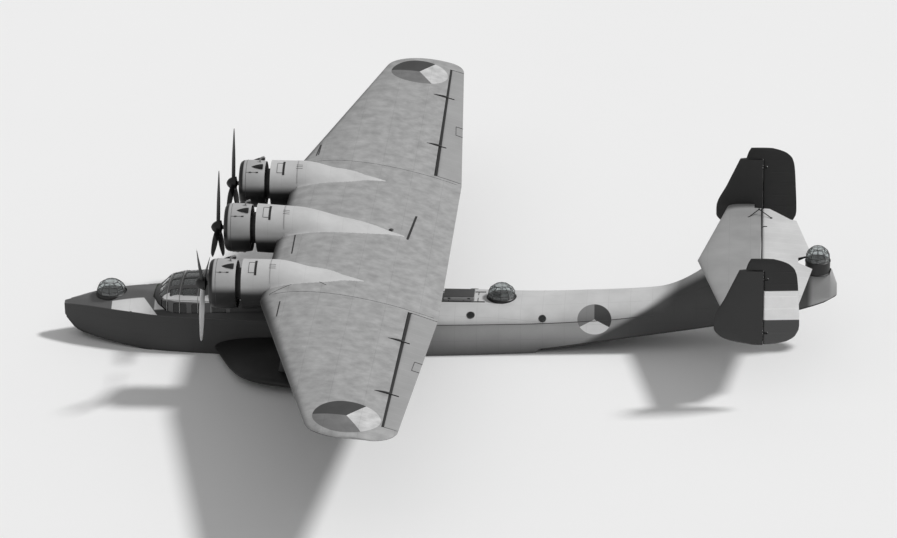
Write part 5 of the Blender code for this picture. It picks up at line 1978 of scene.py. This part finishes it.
    def small_parts(self) -> None:
        """The scoops and the bent pipe on the cowl, and the slit and hatch on the nacelle."""
        scoops = Moulding()
        for angle in (-23, 23):
            outward = self.outward(angle)
            across = AHEAD.cross(outward)
            rings = []
            for share in spread(0, 1, 12):
                width = 0.012 + 0.072 * math.sin(math.pi / 2 * share) ** 0.8
                tall = 0.010 + 0.085 * math.sin(math.pi / 2 * share)
                centre = at(5.10 + 0.34 * share, self.out, self.thrust) + outward * (self.cowl_radius - 0.01)
                ring = []
                for turn in spread(0, math.pi, 12):
                    ring.append(centre + across * width * math.cos(turn) + outward * tall * math.sin(turn))
                rings.append(ring)
            scoops.loft(rings)
        middle = at(5.38, self.out, self.thrust) + UP * self.cowl_radius
        path = [
            middle + Vector((0.06, 0, -0.04)),
            middle + Vector((0.05, 0, 0.07)),
            middle + Vector((0.00, 0, 0.125)),
            middle + Vector((-0.08, 0, 0.15)),
        ]
        scoops.tube(path, [0.024, 0.024, 0.026, 0.030], 12, 1)
        made = scoops.make(f"cowl_{self.tag}_scoops", [DARK_ENAMEL, LIGHT_ENAMEL])
        install(made, AIRFRAME)
        slit = Moulding()
        self.strap(slit, 6.05, (0, 46), 0.062, 0)
        self.strap(slit, 5.86, (8, 40), 0.012, 1)
        for angles, stations, lift, radius in (
            ((8, 40), (5.86, 6.02), 0.004, 0.006),
            ((14, 20, 26), (6.42, 6.60), 0.003, 0.007),
        ):
            for angle in angles:
                slit.tube([self.skin_point(s, angle, lift) for s in spread(*stations, 4)], radius, 6, 1)
        install(slit.make(f"nacelle_{self.tag}_hatch", [DARK_ENAMEL, MID_ENAMEL]), AIRFRAME)

    def strap(self, mould: Moulding, station: float, angles: Pair, wide: float, slot: int) -> None:
        """Adds a flat strip round part of the nacelle.

        Args:
            mould: What it is added to.
            station: The station of its middle.
            angles: Its two ends, in degrees from the top towards port.
            wide: Its width.
            slot: The material slot.
        """
        near, far = station - wide / 2, station + wide / 2
        corners = ((near, 0.006), (far, 0.006), (far, -0.01), (near, -0.01))
        rings = [[self.skin_point(s, angle, lift) for s, lift in corners] for angle in spread(*angles, 14)]
        mould.loft(rings, slot)

    def propeller(self) -> None:
        """The spinner and three twisted blades."""
        centre = at(self.propeller_station, self.out, self.thrust)
        back = self.propeller_station - (self.firewall - 0.98) - 0.07
        rounding = [math.sin(math.pi / 2 * share) ** 0.9 for share in spread(0, 1, 14)]
        falls = [0.20 - 0.28 * share**1.6 for share in spread(0, 1, 14)]
        profile = [(0.005 + 0.19 * reach, along) for reach, along in zip(rounding, falls)]
        profile += [(0.197, -0.085), (0.13, -0.10)]
        profile += [(self.shaft_radius, -0.12), (self.shaft_radius, back), (0.0, back)]
        mould = Moulding()
        mould.turned(profile, centre, AHEAD, 48, 2)
        mould.ball(centre + AHEAD * 0.195, (0.012, 0.02, 0.02), 10, 2)
        for index in range(3):
            self.blade(mould, centre, self.outward(self.blade_angle + 120 * index))
        body = f"propeller_{self.tag}"
        made = mould.make(f"{body}_blades", [BLADE_PAINTED_LIGHT, BLADE_BLACK, SPINNER_BLACK], BLADE_CREASE)
        install(made, body, [body])

    def blade(self, mould: Moulding, centre: Vector, outward: Vector) -> None:
        """Adds a blade, black but for the rear faces of the port propeller's lower blades, painted near white
        as painted light.

        Args:
            mould: What it is added to.
            centre: The hub.
            outward: The blade's direction.
        """
        steps = 16
        across = AHEAD.cross(outward)
        rings = []
        for radius in spread(0.14, 1.36, 16) + [1.45, 1.52, 1.56, 1.585, 1.60]:
            _, chord, thickness, pitch = table_row(self.blade_rows, radius)
            lean = math.radians(90 - pitch)
            wide = across * math.sin(lean) + AHEAD * math.cos(lean)
            thin = wide.cross(outward)
            middle = centre + outward * radius
            rings.append(ellipse(middle, wide * chord / 2, thin * thickness / 2, steps))
        ahead_first = thin.dot(AHEAD) > 0
        # Painted light and shade: only the port propeller's lower blades keep a near-white rear face; all
        # other blades are black all over, their rear faces as painted shade
        black = self.place is not Station.PORT or outward.z > 0
        slots = [int(black or (column < steps // 2) == ahead_first) for column in range(steps)]
        mould.loft(rings, slots=slots)


# Tail
@dataclass
class Tail:
    """The tailplane on the upswept hull, its elevator, and two fins with horn-balanced rudders."""

    height: float = 2.50
    spread_out: float = 4.03
    hinge_station: float = 20.02
    rows: Table = ((0.00, 18.12, 21.42, 0.30), (4.03, 18.96, 20.75, 0.20))
    elevator_tip: Pair = (3.66, 3.00)
    rake_station: float = 20.76
    notch: Pair = (1.02, 20.95)
    elevator_lugs: Pair = (-2.3, 2.3)
    lug_half: float = 0.035
    fin_rows: Table = (
        (1.80, 19.55),
        (1.86, 19.15),
        (2.00, 18.80),
        (2.25, 18.62),
        (2.46, 18.62),
        (3.20, 18.94),
        (3.99, 19.30),
    )
    rudder_rows: Table = (
        (1.81, 20.30),
        (1.90, 20.62),
        (2.07, 20.84),
        (2.33, 20.94),
        (3.30, 20.90),
        (3.80, 20.86),
        (4.005, 20.80),
        (4.18, 20.64),
        (4.27, 20.44),
        (4.33, 20.22),
    )
    horn_rows: Table = ((4.015, 19.47), (4.18, 19.52), (4.33, 19.60))
    fin_thickness: float = 0.16
    rudder_thickness: float = 0.13
    gap: float = 0.008
    rudder_lugs: Pair = (2.15, 3.75)

    def chord(self, out: float) -> Row:
        """The tailplane's section at a distance out, to either side.

        Args:
            out: The distance out.

        Returns:
            Leading and trailing edge station, and thickness.
        """
        (_, *root), (tip_out, *tip) = self.rows
        share = min(1.0, abs(out) / tip_out)
        return tuple(near + (far - near) * share for near, far in zip(root, tip))

    def heights(self, out: float, station: float) -> Pair:
        """Heights of the tailplane's upper and lower surface.

        Args:
            out: The distance out, to either side.
            station: The station.

        Returns:
            The upper and the lower height.
        """
        front, rear, thickness = self.chord(out)
        share = min(1.0, max(0.0, (station - front) / (rear - front)))
        upper, lower = foil(share, thickness / (rear - front))
        half = (upper - lower) / 2 * (rear - front) + 0.005 * share
        return self.height + half, self.height - half

    def nose_radius(self, out: float) -> float:
        """Half the tailplane's thickness at the hinge line, where the elevator's nose is round."""
        high, low = self.heights(out, self.hinge_station)
        return (high - low) / 2

    def build(self) -> None:
        """Makes the tailplane, the elevator, both fins and both rudders."""
        self.tailplane()
        self.elevator()
        for side in Side:
            self.fin(side)
            self.rudder(side)
            self.linkage(side)

    def tailplane(self) -> None:
        """The fixed surface, with the bay cut for the elevator."""
        rings = []
        for out in spread(-self.spread_out, self.spread_out, 33):
            front, rear, _ = self.chord(out)
            rings.append(foil_ring(self.heights, out, foil_stations(front, rear, 20)))
        mould = Moulding()
        mould.loft(rings)
        plane = mould.make("tailplane_skin", [TAIL_ENAMEL])
        tip = self.elevator_tip[0] + self.gap
        front_root = self.hinge_station - self.nose_radius(0.0) - self.gap
        front_tip = self.hinge_station - self.nose_radius(self.elevator_tip[0]) - self.gap
        bay = [(front_tip, tip), (front_root, 0.0), (front_tip, -tip), (22.5, -tip), (22.5, tip)]
        tools = [plan_tool(bay, 1.5, 3.5)]
        for side in (-1, 1):
            outs = (side * (tip - 0.01), side * 4.5)
            tools.append(box_tool((self.hinge_station - 0.30, 22.5), outs, (1.5, 3.5)))
        carve(plane, tools, DARK_ENAMEL)
        install(plane, AIRFRAME, ["tailplane"])

    def elevator(self) -> None:
        """The one-piece elevator, raked at its tips and notched round the tail turret."""
        rings = []
        reach = self.elevator_tip[0]
        for out in spread(-reach, reach, 41):
            hinge = at(self.hinge_station, out, self.height)
            rings.append(flap_ring(self.heights, hinge, self.nose_radius(out), self.chord(out)[1]))
        mould = Moulding()
        mould.loft(rings)
        cloth = mould.make("elevator_cloth", [ELEVATOR_CLOTH], CLOTH_CREASE)
        notch_out, notch_station = self.notch
        notch = [(notch_station, 0.18), (notch_station, -0.18), (22.0, -notch_out), (22.0, notch_out)]
        tools = [plan_tool(notch, 1.5, 3.5)]
        for side in (-1, 1):
            rake = [
                (self.hinge_station + 0.10, side * (reach + 0.05)),
                (self.rake_station, side * self.elevator_tip[1]),
                (self.rake_station + 0.9, side * (self.elevator_tip[1] - 0.2)),
                (self.rake_station + 0.9, side * (reach + 0.4)),
                (self.hinge_station + 0.10, side * (reach + 0.4)),
            ]
            tools.append(plan_tool(rake, 1.5, 3.5))
        for out in self.elevator_lugs:
            outs = (out - self.lug_half, out + self.lug_half)
            tools.append(box_tool((19.5, self.hinge_station + 0.06), outs, (2.0, 3.0)))
        carve(cloth, tools, DARK_ENAMEL, CLOTH_CREASE)
        install(cloth, "elevator", ["elevator"])
        brackets = Moulding()
        for out in self.elevator_lugs:
            brackets.block(at(self.hinge_station - 0.09, out, self.height), (0.22, 0.045, 0.06))
            pin = at(self.hinge_station, out, self.height)
            brackets.tube([pin - PORT * 0.06, pin + PORT * 0.06], 0.011, 10)
        station = self.hinge_station - 0.10
        strip = [at(station, y, self.heights(y, 19.9)[0] - 0.002) for y in spread(-3.6, 3.6, 30)]
        brackets.tube(strip, 0.012, 6)
        install(brackets.make("elevator_hinges", [DARK_ENAMEL]), AIRFRAME)

    def fin_ring(self, height: float, out: float) -> list[Vector]:
        """One level section of a fin, with a round leading edge.

        Args:
            height: The section's height.
            out: The fin's distance to port.

        Returns:
            The ring of points.
        """
        _, front = table_row(self.fin_rows, height)
        rear = self.hinge_station - self.rudder_thickness / 2 - self.gap
        half_points = []
        for share in (0.0, 0.01, 0.03, 0.07, 0.13, 0.22, 0.35, 0.5, 0.7, 1.0):
            half = self.fin_thickness * 0.5 * min(1.0, math.sqrt(share * 2.2)) + 0.004
            half_points.append((front + (rear - front) * share, half))
        ring = [at(front - 0.01, out, height)]
        ring += [at(s, out + half, height) for s, half in half_points]
        return ring + [at(s, out - half, height) for s, half in reversed(half_points)]

    def fin(self, side: Side) -> None:
        """One fin, rounded down to its foot, with its hinge brackets.

        Args:
            side: The side that it is on.
        """
        out = self.spread_out * side.value
        low, high = self.fin_rows[0][0], self.fin_rows[-1][0]
        levels = spread(low, low + 0.5, 14) + spread(low + 0.5, high, 14)[1:]
        mould = Moulding()
        mould.loft([self.fin_ring(z, out) for z in levels])
        rear = self.hinge_station - self.rudder_thickness / 2
        for height in self.rudder_lugs:
            mould.block(at(rear + 0.02, out, height), (0.13, 0.05, 0.045), slot=1)
            pin = at(self.hinge_station, out, height)
            mould.tube([pin - UP * 0.05, pin + UP * 0.05], 0.011, 10, 1)
            mould.tube([pin - UP * 0.032, pin + UP * 0.032], 0.045, 16, 1)
        seal_station = rear - self.gap + 0.001
        for start, end in ((low + 0.08, 2.10), (2.20, 3.70), (3.80, 3.96)):
            mould.tube([at(seal_station, out, z) for z in spread(start, end, 8)], 0.0062, 8, 1)
        made = mould.make(f"fin_{side.tag}_skin", [FIN_ENAMEL, DARK_ENAMEL])
        install(made, AIRFRAME, [f"fin_{side.tag}"])

    def rudder_ring(self, height: float, out: float, horn: bool) -> list[Vector]:
        """One level section of a rudder: round nose, greatest thickness at the hinge, thin rear edge.

        Args:
            height: The section's height.
            out: The rudder's distance to port.
            horn: Whether it runs forward over the fin as the balance horn.

        Returns:
            The ring of points.
        """
        radius = self.rudder_thickness / 2
        rear = table_row(self.rudder_rows, height)[1]
        nose = table_row(self.horn_rows, height)[1] if horn else self.hinge_station - radius
        half_points = []
        for share in (0.03, 0.1, 0.2, 0.35, 0.5, 0.7, 1.0):
            half = radius * math.sqrt(1 - (1 - share) ** 2)
            half_points.append((nose + (self.hinge_station - nose) * share, half))
        for share in (0.15, 0.3, 0.5, 0.7, 0.85, 1.0):
            half = radius * (1 - share) * (1 - 0.2 * share) + 0.006
            half_points.append((self.hinge_station + (rear - self.hinge_station) * share, half))
        round_top = math.sqrt(max(0.0, 1 - smooth(4.18, 4.34, height) ** 2)) * 0.7 + 0.3
        ring = [at(nose, out, height)]
        ring += [at(s, out + half * round_top, height) for s, half in half_points]
        return ring + [at(s, out - half * round_top, height) for s, half in reversed(half_points)]

    def rudder(self, side: Side) -> None:
        """One rudder, striped on its outer face and plain on its inner one.

        Args:
            side: The side that it is on.
        """
        out = self.spread_out * side.value
        low = self.rudder_rows[0][0]
        levels = spread(low, low + 0.3, 9) + spread(low + 0.3, 4.005, 16)[1:]
        rings = [self.rudder_ring(height, out, False) for height in levels]
        rings += [self.rudder_ring(height, out, True) for height in spread(4.015, 4.33, 12)]
        count = len(rings[0])
        outer_first = side is Side.PORT
        mould = Moulding()
        mould.loft(rings, slots=[int((column < count // 2) == outer_first) for column in range(count)])
        body = f"rudder_{side.tag}"
        cloth = mould.make(f"{body}_cloth", [RUDDER_CLOTH, STRIPED_CLOTH], CLOTH_CREASE)
        stations, outs = (19.5, self.hinge_station + 0.06), (out - 0.3, out + 0.3)
        half = self.lug_half
        tools = [box_tool(stations, outs, (height - half, height + half)) for height in self.rudder_lugs]
        carve(cloth, tools, DARK_ENAMEL, CLOTH_CREASE)
        install(cloth, body, [body])

    def linkage(self, side: Side) -> None:
        """The small horn and push rods on the tailplane near a fin.

        Args:
            side: The side that they are on.
        """
        sign = side.value
        rods = Moulding()
        apex = at(19.85, 3.2 * sign, 2.75)
        for station in (19.55, 20.20):
            foot = at(station, 2.95 * sign, self.heights(2.95, min(station, 19.9))[0] - 0.01)
            rods.tube([foot, apex], 0.014, 8)
            rods.ball(foot, (0.04, 0.04, 0.02), 10)
        rods.ball(apex, (0.03, 0.03, 0.03), 10)
        install(rods.make(f"tail_push_rods_{side.tag}", [DARK_ENAMEL]), AIRFRAME)


# Struts and sponsons
@dataclass
class Struts:
    """The streamlined struts of the wing, the sponsons and the tail, with their end fairings."""

    cabanes: tuple[tuple[Any, ...], ...] = (
        ((6.75, 0.85, 1.0), (6.95, 1.75, 3.0), 0.20, 0.08),
        ((9.30, 0.85, 1.0), (9.45, 1.75, 2.82), 0.20, 0.08),
        ((6.80, 0.93, 1.18), (9.42, 1.64, 2.60), 0.12, 0.06),
    )
    outer: tuple[tuple[Any, ...], ...] = (
        ("front", (6.60, 3.35, 0.22), (7.20, 4.55, 3.0), 0.22, 0.09),
        ("rear", (8.60, 3.35, 0.25), (9.20, 4.55, 2.85), 0.20, 0.08),
    )
    tail: tuple[Any, ...] = ((19.30, 0.35, 1.15), (19.40, 2.50, 2.48), 0.12, 0.05)

    def strut(self, mould: Moulding, foot: Row, head: Row, section: Pair, side: Side) -> None:
        """Adds a strut of streamlined section with a flared cuff at each end.

        Args:
            mould: What it is added to.
            foot: Its lower end, as station, out and height.
            head: Its upper end, likewise.
            section: Its chord and thickness.
            side: The side that it is on.
        """
        chord, thickness = section
        start, end = (at(s, y * side.value, z) for s, y, z in (foot, head))
        along = (end - start).normalized()
        forward = (AHEAD - along * along.x).normalized()
        across = along.cross(forward)
        rings = []
        for share in spread(0, 1, 30):
            from_end = min(share, 1 - share) * (end - start).length
            flare = 1 + 0.5 * max(0.0, 1 - from_end / 0.35) ** 2
            ring = []
            for step in range(24):
                angle = 2 * math.pi * step / 24
                lean = 0.85 if math.cos(angle) < 0 else 0.6
                wide = forward * math.cos(angle) * chord * lean * min(flare, 1.25)
                ring.append(start.lerp(end, share) + wide + across * math.sin(angle) * thickness / 2 * flare)
            rings.append(ring)
        mould.loft(rings)

    def build(self) -> None:
        """Makes every strut, one piece for each node."""
        for side in Side:
            pieces = [(f"cabane_{side.tag}", "struts", "strut paint", self.cabanes)]
            for name, *row in self.outer:
                pieces.append((f"sponson_strut_{name}_{side.tag}", "tube", "strut paint", [row]))
            pieces.append((f"tail_strut_{side.tag}", "tube", "tail paint", [self.tail]))
            for node, word, paint, rows in pieces:
                mould = Moulding()
                for foot, head, *section in rows:
                    self.strut(mould, foot, head, section, side)
                install(mould.make(f"{node}_{word}", [STRUT_ENAMEL]), AIRFRAME, [node])


@dataclass
class Sponson:
    """A stub sponson: a thick, nearly flat-bottomed foil on the hull's side."""

    side: Side
    rows: Table = (
        (1.10, 4.38, 10.40, 0.20, 0.62),
        (1.90, 4.68, 10.25, 0.22, 0.56),
        (2.90, 5.10, 9.95, 0.26, 0.46),
        (3.45, 5.45, 9.65, 0.29, 0.37),
        (3.84, 6.02, 9.25, 0.31, 0.27),
        (4.12, 6.85, 8.60, 0.33, 0.14),
    )

    def heights(self, out: float, station: float) -> Pair:
        """Heights of the upper and the lower surface.

        Args:
            out: The distance out, to either side.
            station: The station.

        Returns:
            The upper and the lower height.
        """
        _, front, rear, height, thickness = table_row(self.rows, abs(out))
        chord = rear - front
        share = min(1.0, max(0.0, (station - front) / chord))
        half = foil(share, thickness / chord)[0] * chord
        edge = 0.01 * share
        return height + half * 1.1 + edge, height - half * 0.9 - edge

    def build(self) -> None:
        """Makes the sponson's skin."""
        rings = []
        for out in spread(1.10, 3.5, 14) + spread(3.5, 4.12, 14)[1:]:
            _, front, rear, *_ = table_row(self.rows, out)
            rings.append(foil_ring(self.heights, out * self.side.value, foil_stations(front, rear, 24)))
        mould = Moulding()
        mould.loft(rings)
        node = f"sponson_{self.side.tag}"
        install(mould.make(f"{node}_skin", [SPONSON_PAINTED_SHADOW]), AIRFRAME, [node])


# Turrets
@dataclass
class Turret:
    """A glazed turret: a ring that turns in the deck and a faceted dome on it."""

    name: str
    station: float
    seat: float
    radius: float
    ring_height: float
    dome_height: float
    wall: float = 0.010
    rise: float = 0.006
    facets: int = 10
    outline: Table = ((1.0, 0.0), (1.0, 0.32), (0.84, 0.70), (0.52, 1.0))
    places: ClassVar[tuple[tuple[Any, ...], ...]] = (
        ("nose", 1.36, 1.20, 0.42, 0.10, 0.31),
        ("dorsal", 12.56, 1.22, 0.40, 0.11, 0.32),
        ("tail", 21.50, 2.20, 0.35, 0.38, 0.35),
    )

    def corner(self, base: Vector, share: Row, step: float, shrink: float = 0.0) -> Vector:
        """A corner of the dome.

        Args:
            base: The middle of the dome's foot.
            share: Its share of the dome's radius and of its height.
            step: Its step round the dome.
            shrink: How far it is drawn in.

        Returns:
            The corner.
        """
        angle = 2 * math.pi * (step + 0.5) / self.facets
        reach = (self.radius * 0.965 - shrink) * share[0]
        height = (self.dome_height - shrink) * share[1]
        return base + Vector((math.cos(angle) * reach, math.sin(angle) * reach, height))

    def build(self) -> None:
        """Makes the ring, the panes and their bars."""
        foot = at(self.station, 0, self.seat)
        top = self.rise + self.ring_height
        self.ring(foot, top)
        self.dome(foot + UP * top)

    def ring(self, foot: Vector, top: float) -> None:
        """The ring that turns in the deck, with its bolts and its spigot.

        Args:
            foot: The middle of its seat.
            top: Its height over the seat.
        """
        rise, radius = self.rise, self.radius
        profile = [(0.0, top - 0.004), (radius - 0.06, top - 0.004), (radius - 0.05, top)]
        profile += [(radius - 0.005, top), (radius + 0.012, top - 0.015), (radius + 0.012, top - 0.045)]
        profile += [(radius, top - 0.05)]
        profile += [(radius, rise + 0.03), (radius + 0.014, rise + 0.02), (radius + 0.014, rise)]
        profile += [(0.09, rise), (0.09, -0.07), (0.0, -0.07)]
        mould = Moulding()
        mould.turned(profile, foot, UP, 48)
        reach = radius - 0.002
        for bolt in ellipse(foot + UP * (rise + 0.06), AHEAD * reach, PORT * reach, 24):
            mould.ball(bolt, (0.010, 0.010, 0.010), 6)
        body = f"turret_{self.name}"
        made = mould.make(f"{body}_ring_turned", [DARK_ENAMEL])
        install(made, body, [f"turret_ring_{self.name}"])

    def dome(self, base: Vector) -> None:
        """The panes, with a wall's thickness, and the bars along their edges.

        Args:
            base: The middle of the dome's foot.
        """
        steps = range(self.facets)
        panes = Moulding()
        panes.loft([[self.corner(base, share, step) for step in steps] for share in self.outline], caps=False)
        start = len(panes.points)
        inside = [[self.corner(base, s, step, self.wall) for step in steps] for s in reversed(self.outline)]
        panes.loft(inside, caps=False)
        panes.face(range(start - self.facets, start), 0)
        panes.face(range(start, start + self.facets), 0)
        last = len(panes.points) - self.facets
        for step in steps:
            after = (step + 1) % self.facets
            panes.face((step, last + step, last + after, after), 0)
        body = f"turret_{self.name}"
        glass = panes.make(f"{body}_panes", [GLAZING], PANE_CREASE)
        install(glass, body, [f"turret_dome_{self.name}"])
        outer = [[self.corner(base, share, step, -0.002) for step in steps] for share in self.outline]
        paths = [closed_path(loop) for loop in outer] + list(zip(*outer))
        bars = Moulding()
        for path in paths:
            for near, far in zip(path, path[1:]):
                bars.tube([near, far], 0.010, 6)
        install(bars.make(f"{body}_bars", [MID_ENAMEL]), body)


# Studio
@dataclass
class Studio:
    """The plain floor at the waterline, soft light and the camera at the photograph's angle."""

    floor_radius: float = 320.0
    floor_tone: str = "#efefef"
    azimuth: float = math.radians(184.370)
    elevation: float = math.radians(23.648)
    roll: float = math.radians(-0.980)
    distance: float = 114.741
    lens: float = 162.1
    sensor: float = 36.0
    sky_strength: float = 0.42
    target: Triple = (-2.2571, 0.0, 2.1364)

    def build(self) -> None:
        """Sets out the floor, the light and the camera."""
        self.floor()
        self.light()
        self.camera()

    def floor(self) -> None:
        """A pale matt disc."""
        mould = Moulding()
        radii = (40.0, 120.0, self.floor_radius)
        rings = [ellipse(Vector((0, 0, 0)), AHEAD * radius, PORT * radius, 64) for radius in radii]
        mould.loft(rings, caps=False)
        mould.face(range(63, -1, -1), 0)
        matt = Finish("matt studio floor", self.floor_tone, 0.9, mottle=0.01, mottle_mm=40000.0)
        mould.make("floor", [matt])

    def light(self) -> None:
        """One broad lamp high behind the boat, a weak fill and a pale sky."""
        for name, direction, strength, size in (
            ("key", (-0.62, -0.16, 0.77), 2.35, 8.0),
            ("fill", (0.25, 0.75, 0.60), 0.15, 60.0),
        ):
            sun = bpy.data.lights.new(name, "SUN")
            sun.energy = strength
            sun.angle = math.radians(size)
            holder = bpy.data.objects.new(name, sun)
            holder.rotation_mode = "QUATERNION"
            holder.rotation_quaternion = Vector(direction).to_track_quat("Z", "Y")
            bpy.context.scene.collection.objects.link(holder)
        world = bpy.data.worlds.new("pale sky")
        world.use_nodes = True
        sky = world.node_tree.nodes["Background"]
        sky.inputs["Color"].default_value = linear("#f4f4f4")
        sky.inputs["Strength"].default_value = self.sky_strength
        bpy.context.scene.world = world
        bpy.context.scene.view_settings.view_transform = "Standard"

    def camera(self) -> None:
        """The camera at the photograph's place, with its slight roll."""
        level, rise = math.cos(self.elevation), math.sin(self.elevation)
        back = Vector((math.sin(self.azimuth) * level, -math.cos(self.azimuth) * level, rise))
        right = UP.cross(back).normalized()
        up = back.cross(right)
        turned_right = right * math.cos(self.roll) + up * math.sin(self.roll)
        turned_up = up * math.cos(self.roll) - right * math.sin(self.roll)
        lens = bpy.data.cameras.new("camera")
        lens.lens = self.lens
        lens.sensor_width = self.sensor
        lens.clip_start, lens.clip_end = 1.0, 2000.0
        holder = bpy.data.objects.new("camera", lens)
        place = Vector(self.target) + back * self.distance
        holder.matrix_world = Matrix((turned_right, turned_up, back)).transposed().to_4x4()
        holder.matrix_world.translation = place
        bpy.context.scene.collection.objects.link(holder)
        bpy.context.scene.camera = holder


def main() -> None:
    """Builds the flying boat and its studio."""
    logging.basicConfig(level=logging.INFO, format="%(name)s: %(message)s")
    wing = Wing()
    engines = (
        Engine(Station.PORT, 3.61, 3.20, 1.0, 0.0, 152.0, wing),
        Engine(Station.MIDDLE, 0.0, 3.34, 1.25, 0.27, -23.0, wing),
        Engine(Station.STARBOARD, -3.61, 3.20, 1.0, 0.0, -23.0, wing),
    )
    turrets = [Turret(*place) for place in Turret.places]
    sponsons = [Sponson(side) for side in Side]
    for assembly in (Hull(), Canopy(), Cockpit(), wing, *engines, Tail(), Struts(), *sponsons, *turrets):
        assembly.build()
    Studio().build()


if __name__ == "__main__":
    main()
